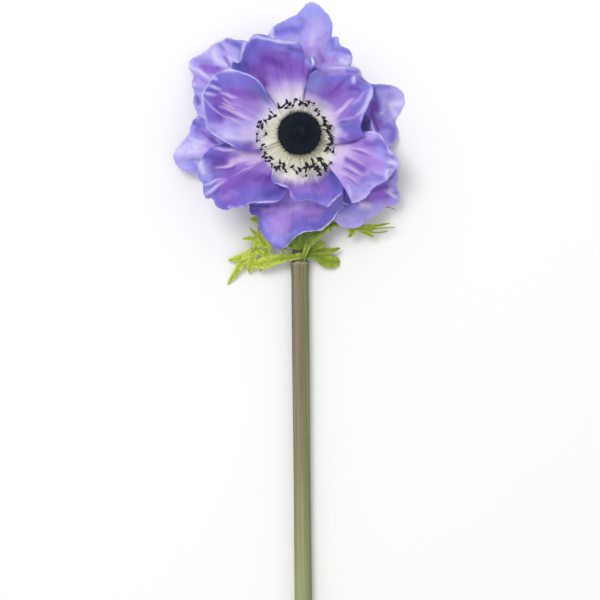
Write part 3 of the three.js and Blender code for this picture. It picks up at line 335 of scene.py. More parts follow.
INNER_PETALS = [
    Petal(
        "petal_inner_top", azimuth=107, levels=(0, 1, 3.6, 6), cup=-0.4, pleats=(5, 0.6, 0.4),
        ruffle=(4, 0.9, 0.8), eye=(19.6, 5), ground=("mauve", "violet", "blue"),
        margin=[
            (7.6, 17), (9.2, 22.4), (9.1, 25.4), (8.4, 27.2), (7.3, 28.6), (6.7, 30.4), (5.7, 31.9),
            (4.7, 30.9), (3.3, 31.8), (2.9, 34), (2, 36.2), (0.4, 37.5), (-2.4, 38.1), (-6, 38.6),
            (-10.4, 39.4), (-13.6, 40.8), (-17.2, 40.6), (-19.6, 38), (-21.4, 34), (-22.6, 30), (-24, 29.2),
            (-26, 29.4), (-25.6, 24.8), (-21.6, 18),
        ],
        strokes=[
            ("mauve", 5, 0.6, (-8, 21), (2, 21)), ("lilac", 2.4, 0.5, (-5, 20.6), (0.6, 19.8)),
            ("blue", 4, 0.9, (-19, 35), (-15.6, 32)), ("indigo", 3, 0.45, (-20.4, 33), (-17, 37)),
            ("blue", 2, 0.9, (-15, 36.8), (-9, 36.4), (-3, 36.4)),
            ("indigo", 3, 1, (-24, 28), (-20.4, 28.4)), ("indigo", 1.8, 0.6, (-21.6, 31.6), (-19.4, 27)),
            ("navy", 0.9, 0.6, (-25.8, 29.2), (-23, 28.8)),
            ("indigo", 2.4, 0.7, (-22.4, 27.6), (-17.4, 25.2)), ("plum", 4.4, 1, (-12.5, 31), (-6.5, 29)),
            ("plum", 2.6, 0.95, (-17.4, 26.6), (-14.6, 23.4), (-12.6, 20.4)),
            ("plum", 2.4, 0.7, (-14.8, 27.4), (-13.2, 25)),
            ("violet", 3.4, 0.75, (-11.4, 25.4), (-8.4, 23.8)), ("plum", 2, 0.6, (-9, 33.2), (-3, 32.6)),
            ("plum", 1.6, 0.6, (-6, 27.4), (-4, 30)), ("violet", 3.6, 0.8, (-3, 29), (1.4, 27)),
            ("indigo", 2.2, 0.75, (-2.6, 35), (1.6, 34)), ("blue", 1.3, 0.8, (2, 33), (2.6, 29.6)),
            ("violet", 1.2, 0.7, (2.6, 27), (4, 23.4), (4.4, 21)), ("sky", 1.5, 0.9, (3.8, 30), (5.2, 28)),
            # The navy stroke here is painted shadow under the inner right upper petal's margin.
            ("blue", 1.2, 0.8, (5, 26.6), (7, 24.6)), ("navy", 1, 1, (8.6, 27), (7, 26.8), (4.9, 25)),
            ("white", 0.8, 0.95, (5.6, 32), (6.3, 29.8), (6.6, 27.8)),
            ("steel", 0.9, 0.7, (-18.5, 40.2), (-15, 40.9), (-12, 40), (-9, 39)),
            ("pale", 1.1, 0.9, (-20, 36.8), (-18.4, 39.2), (-16, 39.9), (-12.6, 38.8), (-9, 38.3)),
            ("pale", 1.2, 0.95, (-11.6, 38.4), (-7.6, 38.2), (-4.6, 37.4), (-1, 37.6), (0.4, 37)),
        ],
    ),
    Petal(
        "petal_inner_left_lower", azimuth=217, levels=(0, 1.1, 3.4, 5.4), cup=0.2, pleats=(5, 0.7, 1.4),
        ruffle=(5, 0.9, 0.2), eye=(14.8, 2.4), ground=("mauve", "violet", "blue"),
        margin=[
            (-20, -1.6), (-26, -2.4), (-30.8, -3.6), (-33.6, -4.4), (-36.8, -7), (-38.9, -10.6),
            (-39.8, -14.4), (-39, -17.4), (-37.6, -19.4), (-37.4, -22.8), (-36, -25.2), (-34, -25.1),
            (-32.3, -28.2), (-30.4, -29.1), (-28.2, -29.8), (-25.6, -28.8), (-22.8, -28.9), (-20, -28.1),
            (-18.4, -26.9), (-13.2, -26.8), (-8, -26.4), (-5.6, -24.4), (-4.2, -21.6), (-3.2, -16),
        ],
        strokes=[
            ("blue", 5, 0.9, (-23, -23.5), (-12, -22.5)),
            ("violet", 5, 0.9, (-28, -19), (-20, -16.5), (-12, -17)),
            ("plum", 2.6, 0.6, (-16, -17), (-11.4, -16.6)), ("indigo", 3.4, 0.85, (-12, -23.6), (-7, -22)),
            ("violet", 1.6, 0.6, (-29, -27.2), (-24, -27)),
            ("mauve", 2.2, 0.75, (-30, -24.4), (-27.4, -24)), ("mauve", 1.5, 0.5, (-27, -22), (-24, -23.2)),
            ("mauve", 1.8, 0.5, (-14.4, -13.4), (-11.6, -13.8)),
            # Painted shade: the indigo stroke under the inner left upper petal's rim, and the two along the
            # groove below it.
            ("indigo", 1.3, 0.6, (-32, -3.2), (-27, -4.4)), ("indigo", 1.4, 0.8, (-38, -7.9), (-34, -8)),
            ("indigo", 2.2, 0.85, (-34, -8.4), (-30, -9)), ("plum", 2, 0.5, (-32.5, -11), (-28.6, -10.4)),
            ("indigo", 1.8, 0.45, (-33, -10.8), (-30, -11.4)), ("mauve", 1.6, 0.8, (-26, -7), (-19, -6.8)),
            ("pink", 2.8, 0.8, (-22, -8), (-15, -8.2)),
            ("violet", 0.9, 0.75, (-28.6, -9.8), (-25, -8.6), (-21.8, -7.7)),
            ("mauve", 2, 0.7, (-24, -12.4), (-15, -12)),
            ("pink", 2.2, 0.75, (-26, -10.4), (-20, -9), (-15.4, -8.8)),
            (
                "pink", 1.2, 0.9, (-33, -12.7), (-29, -12.5), (-27, -11.8), (-25, -10.6), (-22, -9.8),
                (-17, -9.6),
            ),
            ("pink", 1, 0.8, (-21, -11.6), (-17.6, -10.8), (-14, -9.2)),
            ("plum", 0.8, 0.8, (-32, -13.3), (-28, -13.3), (-25, -12.3), (-22.6, -11.7)),
            ("violet", 0.6, 0.5, (-27, -15), (-21, -12.4), (-16, -10.9)),
            ("pink", 0.6, 0.4, (-26.6, -16.4), (-21, -13.6), (-15.4, -11)),
            ("violet", 0.6, 0.5, (-23, -16.4), (-18, -13.2), (-14, -10.6)),
            ("steel", 1.8, 0.5, (-33, -14.6), (-29.5, -15.6)), ("sky", 2, 0.7, (-35.6, -12), (-34.8, -16)),
            ("pale", 2.8, 0.9, (-38.6, -11), (-37.4, -14.8)), ("sky", 2, 0.8, (-37.8, -17), (-35.4, -17.4)),
            ("pale", 1.1, 0.9, (-34, -4.8), (-30, -5.4), (-26, -5.7), (-21, -6.2)),
            ("indigo", 0.7, 0.5, (-33, -6.6), (-29, -6.9), (-25.6, -6.8)),
            ("pale", 0.8, 0.85, (-37.8, -20), (-35, -18.9), (-32.5, -17.8), (-29, -17.4)),
            ("mauve", 1.5, 0.8, (-31.4, -18.3), (-28.4, -17.7)),
            ("steel", 0.9, 0.85, (-37.6, -21), (-35, -20.1), (-32, -18.6)),
            ("pale", 1.1, 0.8, (-37, -23.6), (-34.6, -22.1), (-32.2, -20.3), (-29, -18.2)),
            ("indigo", 0.9, 0.7, (-35.6, -24.6), (-32.4, -22.7), (-29, -20.2)),
            ("violet", 0.7, 0.5, (-31.6, -25.6), (-28.4, -22.6), (-25, -20)),
            ("lilac", 0.9, 0.8, (-28, -28.8), (-26.4, -28.4), (-25, -28.6)),
            ("lilac", 0.9, 0.8, (-24, -28.4), (-22.4, -28.2), (-21, -28.2)),
            ("pale", 0.6, 0.9, (-20.6, -28), (-18.2, -26.8), (-14, -26.6), (-6.6, -26)),
        ],
    ),
    Petal(
        "petal_inner_bottom", azimuth=281, levels=(0, 1.4, 5, 9.5), cup=-1.6, pleats=(4, 0.6, 0),
        ruffle=(4, 0.9, 1.8), eye=(18.6, 2.4), ground=("mauve", "violet", "blue"),
        margin=[
            (-9.6, -13), (-10.2, -17.4), (-8.4, -19.2), (-3.6, -21.2), (-2.8, -24), (-1.2, -26.4),
            (1.2, -26), (6, -25.8), (9.2, -27.2), (11.4, -28.2), (12.8, -28.3), (14.4, -26.4), (16, -24.9),
            (17.8, -23.4), (18.6, -21), (18, -18.4), (16.4, -16), (13.6, -13),
        ],
        strokes=[
            ("blue", 3.4, 0.9, (-9.4, -16), (-5.5, -19.5)), ("violet", 3, 0.6, (-5, -18.4), (-1, -21)),
            ("mauve", 3.4, 0.5, (-2, -21.6), (3, -21.6)), ("mauve", 3, 0.6, (5, -21), (9, -22.4)),
            ("blue", 2.4, 0.85, (0, -25), (9, -25.4)), ("blue", 4.4, 0.95, (13.6, -16), (15.8, -20.6)),
            ("indigo", 2.6, 0.5, (15, -18), (16.4, -22)), ("blue", 2.4, 0.8, (12, -24), (16, -23)),
            ("plum", 1, 0.85, (13.6, -25), (16.4, -24)),
            ("pale", 0.8, 0.8, (-9, -18.9), (-7.2, -19.4), (-3.2, -21)),
            ("lilac", 0.8, 0.8, (-4.6, -20), (-3, -22.4), (-0.6, -26)),
            ("pale", 0.7, 0.85, (11.8, -28.3), (13.8, -26.7), (15.8, -24.9), (18.2, -22.8)),
            ("mauve", 0.6, 0.7, (15.8, -15.2), (17.6, -17.6), (18.4, -20.4)),
        ],
    ),
    Petal(
        "petal_inner_right_lower", azimuth=332, levels=(0, 1.1, 3.4, 5.6), cup=0.2, swell=(2, 0.72),
        pleats=(5, 0.7, 0.7), ruffle=(5, 0.9, 1), eye=(17, 3), ground=("pink", "mauve", "lilac"),
        margin=[
            (21.4, -25.4), (22.2, -26.9), (24.4, -26.4), (27, -25), (28.6, -23.4), (29.7, -21.8),
            (31.2, -20.4), (33.6, -19.1), (36, -17.6), (37.6, -15.4), (39.6, -13), (40.9, -11.9),
            (40.5, -10), (39.6, -7.8), (37.6, -5.2), (35.6, -2.8), (33.4, 0.4), (31.2, 1.8), (29.4, 2),
            (26, 1.8), (22, 1.6), (17, 2),
        ],
        strokes=[
            ("pink", 3.4, 0.7, (17, -3.8), (17.8, -8.8)),
            ("mauve", 5, 0.6, (24, -4), (31, -10), (34, -12.5)), ("lilac", 3, 0.5, (28, -5.4), (33, -8)),
            ("violet", 1.9, 0.75, (27.4, -3.4), (32, -3)), ("blue", 2.6, 0.9, (32, -1.6), (35.6, -4.8)),
            ("sky", 1.9, 0.8, (33.4, -5.6), (35, -9.4)), ("steel", 1.6, 0.85, (35.8, -7.6), (38.4, -8.8)),
            ("steel", 1, 0.8, (35, -12.8), (36.4, -12.7), (39, -12.4)),
            ("pale", 1.2, 0.8, (35.6, -10.6), (38, -10.4), (40.6, -11.2)),
            ("pale", 1.5, 0.75, (36.2, -14), (36.8, -17)),
            ("steel", 0.6, 0.7, (37.2, -13.8), (37, -15.6), (36.8, -17.2)),
            ("blue", 2.4, 0.65, (27, -17.2), (33, -17.8)), ("violet", 1.6, 0.5, (30, -15.6), (34, -16.6)),
            ("sky", 3, 0.9, (22.4, -21), (27, -21.4)), ("lilac", 2.6, 0.85, (22.6, -25), (27.6, -23)),
            ("steel", 1, 0.5, (27.6, -20), (30.4, -19.6)),
            ("violet", 0.9, 0.85, (21, -5.2), (25, -6.4), (30, -8.2)),
            ("pink", 0.8, 0.7, (20, -4), (25, -5.2), (29, -6.4)),
            ("pink", 0.8, 0.75, (19.6, -7.6), (24, -10), (27.4, -11.6)),
            ("violet", 2.3, 1, (20, -9.6), (23, -11.1), (26.4, -13.4)),
            ("violet", 1.1, 0.9, (17.8, -12.2), (21.5, -14.4), (25.4, -16)),
            ("pink", 1, 0.65, (18.8, -12), (22, -13.4), (27, -15.8)),
            ("pink", 1.2, 0.5, (16.2, -13.6), (20, -16), (25, -19.2)),
            ("violet", 0.8, 0.7, (18, -15.6), (22, -18), (26, -20.6)),
            # Painted shadow under the inner right upper petal's lower margin.
            ("plum", 0.9, 0.7, (17, -3.2), (21, -2.7), (25, -1.4), (27.6, -0.2)),
            ("pale", 0.7, 0.85, (35.6, -4), (37, -6.2), (38.6, -8)),
            ("pale", 0.6, 0.8, (32.6, 1.4), (34, -0.8), (35.4, -3)),
            ("pale", 0.8, 0.7, (27, 1.6), (29.8, 1.8), (32, 1)),
            ("pale", 0.7, 0.7, (20, -18.6), (21.2, -22), (22, -25.4)),
            ("pale", 0.6, 0.7, (22, -26.8), (25, -26), (28.4, -23.4), (30.6, -20.8)),
        ],
    ),
    Petal(
        "petal_inner_right_upper", azimuth=40, levels=(0, 1.1, 3.6, 6), cup=0.8, pleats=(5, 0.7, 2),
        ruffle=(5, 0.9, 2.2), eye=(16, 3.2), ground=("mauve", "violet", "blue"),
        margin=[
            (15, -3.2), (20.4, -2.4), (24, -1), (26.6, -0.2), (25.6, 2), (25.4, 4), (26.4, 7.6),
            (27.8, 10.6), (29.2, 13.6), (30.3, 16.4), (30.3, 19.4), (28.4, 20.8), (26, 21.8), (24, 23.2),
            (22.4, 24.8), (18, 24.2), (14, 24.2), (10, 25), (7.6, 26), (5.6, 25), (4.4, 22.8), (3.2, 19.6),
            (2.4, 16),
        ],
        strokes=[
            ("steel", 4.6, 0.95, (5, 20), (9, 22.6)), ("steel", 2.6, 0.7, (7, 17.6), (11.4, 19.4)),
            ("blue", 2.2, 0.85, (12, 23), (20.6, 23)), ("violet", 4.6, 0.8, (12, 17.6), (21, 16)),
            ("mauve", 2.6, 0.45, (14.4, 13.6), (19, 16.6)),
            ("plum", 0.9, 0.75, (20.6, 23.6), (17, 20.2), (14, 17.4), (11.6, 15)),
            ("plum", 1.5, 0.8, (21.4, 19.2), (24.6, 18.8)), ("steel", 1.3, 0.7, (24.6, 20.2), (28, 19.6)),
            ("lilac", 2, 0.6, (10, 13.6), (13.6, 11.6)), ("pink", 2.6, 0.6, (14, 8.6), (16.6, 9.4)),
            ("blue", 3, 0.9, (18.4, 4), (24.4, 2.4)), ("indigo", 2.4, 0.3, (18.4, 4.2), (24, 2.8)),
            ("lilac", 2.4, 0.7, (29.2, 17.6), (28.2, 12.6), (26.2, 7)),
            ("steel", 1.8, 0.7, (17.6, 4.8), (20.6, 5.2)), ("lilac", 1.9, 0.85, (16, 1.8), (19.4, 0.4)),
            ("blue", 2, 0.75, (25, 12.6), (21.6, 10)), ("steel", 1.2, 0.5, (25.4, 13.6), (23.2, 10.6)),
            ("lilac", 1.1, 0.8, (27.4, 18.4), (25, 15.2), (21.8, 12.2)),
            ("pale", 1.4, 0.7, (29.6, 21), (29.6, 16.6), (28.4, 13.4), (26.4, 10.4), (23.4, 8)),
            ("pale", 1.2, 0.32, (25.4, 9.4), (22.6, 7.4), (19, 6.8), (15.4, 5)),
            ("steel", 0.7, 0.9, (28.8, 18), (26.8, 16), (25.2, 13.8)),
            ("pink", 1.4, 0.85, (23, 15.2), (20, 12.9), (18.2, 10.9), (14.6, 8.8)),
            ("violet", 0.9, 0.7, (20.4, 11.4), (17.8, 8.4), (16.4, 6.6)),
            ("violet", 0.7, 0.55, (17.8, 13), (15.6, 10.6), (13.4, 9)),
            ("plum", 0.9, 0.7, (15.6, 4.4), (18, 5.6), (20.8, 6)),
            ("pale", 1.5, 0.85, (22.8, 23.4), (22.8, 22)),
            ("indigo", 0.9, 0.7, (23.4, 24), (26, 21.8), (29, 20.6)),
            # Painted shade along its lower margin, where it lies over the inner right lower petal.
            ("plum", 0.6, 0.6, (15, -2.8), (20.4, -2.1), (26, -0.2)),
        ],
    ),
    Petal(
        "petal_inner_left_upper", azimuth=156, levels=(0, 1.1, 3.4, 5.8), cup=0.6, pleats=(5, 0.7, 0.1),
        ruffle=(5, 0.9, 0.5), eye=(15.8, 4), ground=("lilac", "violet", "blue"),
        margin=[
            (-10.2, 14), (-12.2, 18), (-14.6, 21.4), (-18, 24), (-21.6, 25.6), (-25, 26.6), (-27.6, 27.1),
            (-29.6, 26), (-32, 25.1), (-34, 23), (-36, 20), (-37.8, 17.8), (-38.2, 14), (-37.9, 9.4),
            (-37, 6.4), (-36.1, 4.8), (-36.6, 3.5), (-35.2, 2.1), (-33.2, 0.3), (-30.8, -1.1), (-29, -2.3),
            (-27, -3.4), (-24.6, -5.1), (-21, -5.6), (-16, -5.4),
        ],
        strokes=[
            ("blue", 6, 0.9, (-31, 22.5), (-16, 21)), ("steel", 3.4, 0.8, (-16.6, 19), (-11.6, 14.6)),
            ("violet", 3, 0.9, (-27, 18.2), (-17.4, 16.6)), ("plum", 1.6, 0.4, (-26, 17.4), (-21, 16.6)),
            ("mauve", 4, 0.75, (-24, 13.8), (-14, 10)), ("mauve", 3.4, 0.7, (-26, 12), (-17, 7)),
            ("violet", 3, 0.75, (-34, 14.6), (-28, 13)), ("violet", 2.6, 0.7, (-31, 10), (-27, 9)),
            ("plum", 1.9, 0.6, (-33.5, 15.2), (-30.5, 14.8)),
            ("plum", 2.1, 0.8, (-32.2, 11.6), (-30.8, 7.4)), ("blue", 2.4, 0.85, (-36.4, 15), (-36, 8.6)),
            ("steel", 1.6, 0.7, (-36, 14.2), (-34.6, 13)), ("blue", 1.8, 0.8, (-35.4, 8), (-32.4, 6.4)),
            ("lilac", 2.6, 0.8, (-35, 4), (-28, 3.6)),
            ("lilac", 3.6, 0.95, (-31, 1.6), (-24, 2.4), (-17, 3.6)),
            ("pale", 2.8, 0.75, (-28, 0), (-22, -1), (-17, -0.6)),
            ("pink", 2.8, 0.6, (-21.4, 1.2), (-17, 3.2)), ("lilac", 2.2, 0.6, (-28, 5.6), (-25, 5)),
            ("sky", 1.4, 0.4, (-28, -1.8), (-21, -3.8)), ("plum", 0.7, 0.5, (-24, -5.1), (-18, -5.1)),
            ("violet", 0.9, 0.85, (-30, 18.9), (-26, 17.8), (-22, 15.4), (-18, 13.4)),
            ("mauve", 1.1, 0.8, (-31.4, 17.8), (-27, 16.3), (-22, 14.8)),
            ("pink", 0.9, 0.7, (-31, 17.6), (-27, 16.1), (-23.4, 15)),
            ("pink", 0.7, 0.8, (-30, 15.4), (-26.5, 13), (-22, 11.4)),
            ("violet", 0.7, 0.6, (-29, 14), (-25, 12.2), (-19, 9.8)),
            ("pink", 0.6, 0.7, (-30.4, 13.4), (-27, 12.1), (-24.4, 10.6)),
            ("pink", 1.2, 0.7, (-32, 11.7), (-28, 11.2), (-25.6, 9.6), (-22, 8.2), (-18, 6.3), (-15, 5.4)),
            ("plum", 0.8, 0.7, (-31.6, 10.6), (-27.6, 9.4), (-24, 7.6), (-20, 6)),
            ("pink", 0.8, 0.6, (-30, 8), (-26, 6.8), (-21, 4.4)),
            ("lilac", 0.7, 0.8, (-38, 15.8), (-34, 11.5), (-31, 8.8), (-27.6, 6.6)),
            ("indigo", 0.9, 0.8, (-34.6, 22), (-33, 21), (-30.6, 20)),
            ("indigo", 0.9, 0.9, (-36.6, 18.7), (-34, 18.3), (-31, 17.4)),
            ("pale", 1.1, 0.8, (-34.4, 23.4), (-31.4, 22.3)),
            ("pale", 0.9, 0.8, (-36, 20.6), (-33, 19.4), (-30, 18.4)),
            ("pale", 0.9, 0.8, (-37.8, 17.4), (-34.6, 16.7), (-32, 16.4)),
            ("pale", 1.2, 0.6, (-38, 18.6), (-37.8, 14), (-37.2, 9), (-36, 4.6)),
            ("white", 1.2, 0.7, (-30.4, 26), (-27, 26.6), (-23.6, 25.8)),
            ("pale", 0.5, 0.8, (-30, 25.8), (-32.4, 24.8), (-35.6, 20.8), (-37.7, 17), (-38, 11)),
            ("pale", 0.6, 0.9, (-25, 26.3), (-20, 24.8), (-17, 23.1), (-14.4, 21), (-11.6, 16.6)),
            ("pale", 0.6, 0.85, (-36.6, 4.6), (-35.4, 2.6), (-32, 0), (-28.4, -2.4), (-24.4, -4.6)),
        ],
    ),
]

# How far a stroke of each tone stands out of its petal, per mm of width: pale ridges, dark grooves.
TONE_RELIEF = {
    "white": 0.18,
    "pale": 0.15,
    "pink": 0.09,
    "lilac": 0.1,
    "sky": 0.08,
    "mauve": 0.05,
    "blue": 0,
    "orchid": -0.02,
    "violet": -0.04,
    "steel": -0.1,
    "plum": -0.12,
    "indigo": -0.16,
    "navy": -0.25,
}

# Where each anther lies, as X and Y, going clockwise from the upper left.
ANTHERS = [
    (-7.2, 11.6), (-4, 13.6), (-4.4, 11.2), (-2.8, 12.8), (-0.4, 14.6), (-1.6, 12.2), (1.2, 14),
    (1.2, 12.8), (3.6, 12.4), (2, 13.2), (4.8, 13.6), (6.8, 13), (7.6, 10.4), (8.8, 8.6), (10.8, 7.2),
    (11.2, 6), (13.2, 4), (10.8, 4.4), (13.2, 3.2), (12, 2), (12.8, 1.2), (13.6, 0), (13.2, -1.2),
    (14, -1.6), (13.6, -3.2), (12, -5.2), (14.4, -6.4), (13.6, -10.8), (9.2, -9.2), (11.2, -12.8),
    (11.2, -11.6), (11.6, -14), (8.4, -13.6), (9.2, -15.2), (6, -9.6), (6.8, -11.6), (7.6, -12.8),
    (5.6, -12.4), (4, -11.6), (3.6, -16), (3.2, -12.8), (1.2, -13.6), (0, -14.8), (-2, -12.4),
    (-4.4, -14.4), (-5.2, -13.2), (-5.2, -11.6), (-6.8, -10.8), (-7.2, -12.4), (-8.4, -12.8),
    (-10, -11.6), (-11.2, -10), (-10.4, -8.8), (-12.4, -8.8), (-13.6, -8.4), (-12.8, -6.8),
    (-14.4, -5.6), (-13.6, -3.6), (-16, -2), (-16, 0.8), (-12.4, 0.8), (-15.6, 3.6), (-14, 3.6),
    (-14.8, 5.6), (-12.8, 6), (-10.8, 7.2), (-10.4, 9.6), (-8.8, 8),
]

# Thick dark threads that lean in from the ring, each from its tip to its end.
CLUBS = [
    [(6.2, -9.3), (6.7, -12.8)], [(9.2, -8.9), (10.4, -12.4)], [(4.1, -11.4), (3.3, -15)],
    [(12.2, -4.6), (13.6, -6)], [(10.4, 6.4), (12.8, 2.4)], [(-6.8, 10.8), (-3.8, 13.4)],
]

# Bracts: each is cut into lobes that grow from one foot. A lobe is a row of midrib points, each with its
# half width there: X, Y, Z, half width.
BRACTS = {
    "bract_left": [
        [
            (2.2, -47.9, 6.95, 1.1), (-3, -48.6, 6.9, 1.4), (-8, -49.4, 6.4, 2), (-12.4, -50.5, 5.5, 2.5),
            (-16, -51.3, 4.5, 1.7), (-18, -51.4, 3.9, 1),
        ],
        [(-6, -48.6, 6.7, 0.8), (-10, -48.3, 6.3, 1.1), (-13.4, -47.2, 6, 1.1), (-16.4, -45.4, 5.7, 1)],
        [
            (-16.4, -43.6, 6.1, 1.4), (-17.6, -47, 5.2, 1.9), (-18.3, -50.4, 4, 1.75),
            (-18.8, -52.8, 2.9, 1.4), (-19.2, -55, 1.8, 0.55),
        ],
        [
            (-17.2, -45.2, 5.6, 1.2), (-19.4, -47.8, 4.7, 1.6), (-22.2, -51, 3.2, 1.6),
            (-24.4, -54.4, 2, 1.25), (-26.2, -57.2, 1, 0.9), (-27.9, -59.5, 0.45, 0.4),
        ],
        [(-17.4, -45.8, 5.5, 1.3), (-20.6, -47.8, 4.4, 1.6), (-24, -49, 3, 1.3), (-27.7, -49.7, 1.8, 0.55)],
        [(-14, -51.6, 5, 1), (-14.4, -53, 4.2, 0.8), (-14.8, -54.4, 3.5, 0.35)],
        [
            (-12, -47.6, 6.1, 1.2), (-12, -45.4, 6.6, 1.3), (-13, -43, 7.1, 2), (-14.6, -40.6, 7.9, 1.8),
            (-15.4, -38, 8.7, 0.9),
        ],
        [(-16.6, -46, 5.6, 1.2), (-16.2, -43.6, 6.5, 1.6), (-15.4, -41.4, 7.4, 2)],
        [(-13.6, -42.8, 7.1, 1.6), (-11.6, -44, 7, 1), (-9.5, -44.7, 6.8, 0.35)],
        [(-14.4, -41.4, 7.4, 1.3), (-18, -41, 7.2, 1.05), (-20.4, -41, 7, 0.8), (-21.9, -41, 6.9, 0.35)],
        [(-15, -39.4, 8.2, 1.2), (-16.8, -38.8, 8.4, 0.9), (-18, -37.8, 8.7, 0.6), (-19, -36.6, 9, 0.3)],
        [
            (-15, -38, 8.7, 1), (-14.6, -35.6, 9.2, 1.4), (-15.6, -33.7, 9.5, 1.7), (-17.4, -33.2, 9.6, 1.1),
            (-19.1, -33.1, 9.6, 0.4),
        ],
        [(-6.3, -43.9, 7.6, 1), (-5.8, -45.7, 7.3, 0.8), (-5.3, -47.6, 6.9, 0.25)],
        [(-5, -44.4, 7.5, 0.5), (-3.8, -46, 7.2, 0.42), (-2.2, -47.5, 6.9, 0.32)],
    ],
    "bract_right": [
        [
            (4.1, -47.1, 5.5, 1.2), (8, -48, 4.4, 1.7), (11.2, -49.7, 3, 2.6), (14.2, -50.3, 1.8, 2.55),
            (16.2, -50.2, 0.9, 1.9), (17.2, -50.1, 0.5, 1.1),
        ],
        [
            (4.2, -46.3, 5.5, 1), (8, -46.2, 5.3, 1.1), (12, -46.1, 4.6, 1.3), (15, -45.5, 3.9, 0.9),
            (17.5, -44.7, 3.2, 0.4),
        ],
        [
            (5.8, -45.6, 6, 0.8), (7.4, -44.8, 6.6, 0.9), (8.8, -43.8, 7, 1.4), (9.8, -43.1, 7.1, 1.5),
            (10.9, -42.5, 7, 0.9),
        ],
    ],
    "bract_front": [
        [
            (2, -45.5, 7.2, 1.7), (2.7, -43.2, 7.6, 3), (4.2, -40.6, 8.1, 3.9), (7.9, -38.4, 8.7, 2.8),
            (11, -37.2, 8.9, 1.7), (13.4, -36, 9, 1),
        ],
        [(11, -37.4, 8.8, 1), (13.6, -35.6, 8.9, 1.3), (15.4, -35, 8.9, 1.3), (17.5, -36.2, 8.8, 0.4)],
        [(13.4, -36, 8.8, 0.8), (13.4, -37.2, 8.4, 0.5), (13.3, -38.1, 8, 0.3)],
        [
            (15, -34.4, 9, 1.2), (20, -35.4, 8.6, 1.3), (25, -36.9, 7.6, 1.2), (28, -37.3, 6.8, 1.1),
            (30.6, -37.2, 6.2, 0.5),
        ],
        [(22, -36.2, 8, 1.3), (22.1, -38, 7.4, 1.3), (21.6, -39.4, 6.8, 0.9), (20.5, -40.5, 6.2, 0.4)],
        [
            (24.6, -36.8, 7.6, 0.9), (28.4, -36.3, 6.8, 1), (31, -36, 6.3, 0.8), (34, -35.4, 5.7, 0.5),
            (37.4, -34.8, 5, 0.3),
        ],
        [(28, -37.2, 6.8, 0.6), (31, -37, 6, 0.32), (35, -36.7, 5.2, 0.26), (39.6, -36.5, 4.6, 0.22)],
        [(27.6, -37.8, 6.7, 0.7), (30.6, -38.5, 5.9, 0.38), (33.6, -38.5, 5.3, 0.3), (36.4, -38, 5, 0.26)],
        [(25, -37.3, 7.3, 0.9), (28, -38.8, 6.5, 0.8), (30.7, -40.3, 5.6, 0.38)],
        [(2.4, -49.5, 7.2, 0.9), (3.3, -46.6, 7.8, 1), (4.6, -43, 8.5, 1.2)],
        [(1.6, -44.6, 7.6, 1), (-0.8, -44, 7.9, 1.3), (-2.8, -43.6, 8.2, 1.2), (-4.4, -43.9, 8.2, 0.6)],
        [(1.2, -44.4, 7.6, 1.2), (-0.2, -42.4, 8.2, 2), (0, -39.6, 8.6, 1.8)],
        [
            (20, -35, 8.2, 0.5), (26, -31.4, 7.2, 0.35), (32, -28.8, 6.6, 0.26), (36.4, -28.4, 6.2, 0.22),
            (40, -29.6, 5.8, 0.18),
        ],
    ],
}


def bloom_origin():
    """Where the bloom frame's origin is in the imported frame, in mm, from the stem's box: its widest point to
    the right is at the cut, and its cut reaches furthest back at the foot of the slant."""
    low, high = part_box("stem")
    cut_x = COLLAR_X + (COLLAR_Y - STEM_CUT_Y) * STEM_DRIFT
    x = high.x / MM - cut_x - STEM_RADIUS
    y = low.y / MM - STEM_CUT_Y + STEM_CUT_SLANT * STEM_AXIS_HEIGHT
    return np.array([x, y, 0])


ORIGIN = bloom_origin()


def hex_colour(code):
    """A colour in scene light from its usual six-digit code."""
    parts = [int(code[k : k + 2], 16) / 255 for k in (0, 2, 4)]
    return tuple(p / 12.92 if p <= 0.04045 else ((p + 0.055) / 1.055) ** 2.4 for p in parts)


def colour(name, description, code):
    return bpy.props.FloatVectorProperty(
        name=name, description=description, subtype="COLOR", size=3, min=0, max=1, default=hex_colour(code)
    )


def amount(name, description, default, **limits):
    return bpy.props.FloatProperty(name=name, description=description, default=default, **limits)


def length(name, description, millimetres):
    return amount(name, description, millimetres * MM, unit="LENGTH", min=0, precision=5)


class PetalSettings(bpy.types.PropertyGroup):
    """Sizes and tones of the petals."""

    thickness: length("Thickness", "Of a petal at its middle", 0.45)
    gap: length("Gap", "Between petals that lie on each other", 0.4)
    ripple: length("Ripple", "Depth of the fine ripples along a petal", 0.098)
    blue: colour("Blue", "Main tone of the outer petals", "7269cb")
    violet: colour("Violet", "Main tone of the inner petals", "8058bd")
    # Deep red-violet of the petals, partly painted shade along folds and under other petals' margins.
    plum: colour("Plum", "Deep red-violet of the folds", "673ba2")
    indigo: colour("Indigo", "Deep blue of the shadows", "4c45a0")
    # Painted shade: the darkest hollows between petals and the shadows under their margins.
    navy: colour("Navy", "Darkest hollows", "2e2874")
    orchid: colour("Orchid", "Vivid violet next to a fold", "9f66de")
    mauve: colour("Mauve", "Warm light violet", "a886dd")
    # The petals' own pink, and painted highlight on bright ridges.
    pink: colour("Pink", "Bright ridges", "dbc5f0")
    lilac: colour("Lilac", "Light blue-violet", "b3a6ea")
    pale: colour("Pale", "Rims that catch the light", "d2cdf7")
    # Painted highlight on the brightest rims and folds.
    white: colour("White", "Brightest rims", "e6e6fb")
    sky: colour("Sky", "Light blue", "9b9aec")
    # Grey-blue, partly painted shade in gaps between petals and under their margins.
    steel: colour("Steel", "Grey-blue", "7679bb")
    eye: colour("Eye", "White zone round the stamens", "ece4f2")
    cream: colour("Cream", "Cream zone under the stamens", "fdfaec")


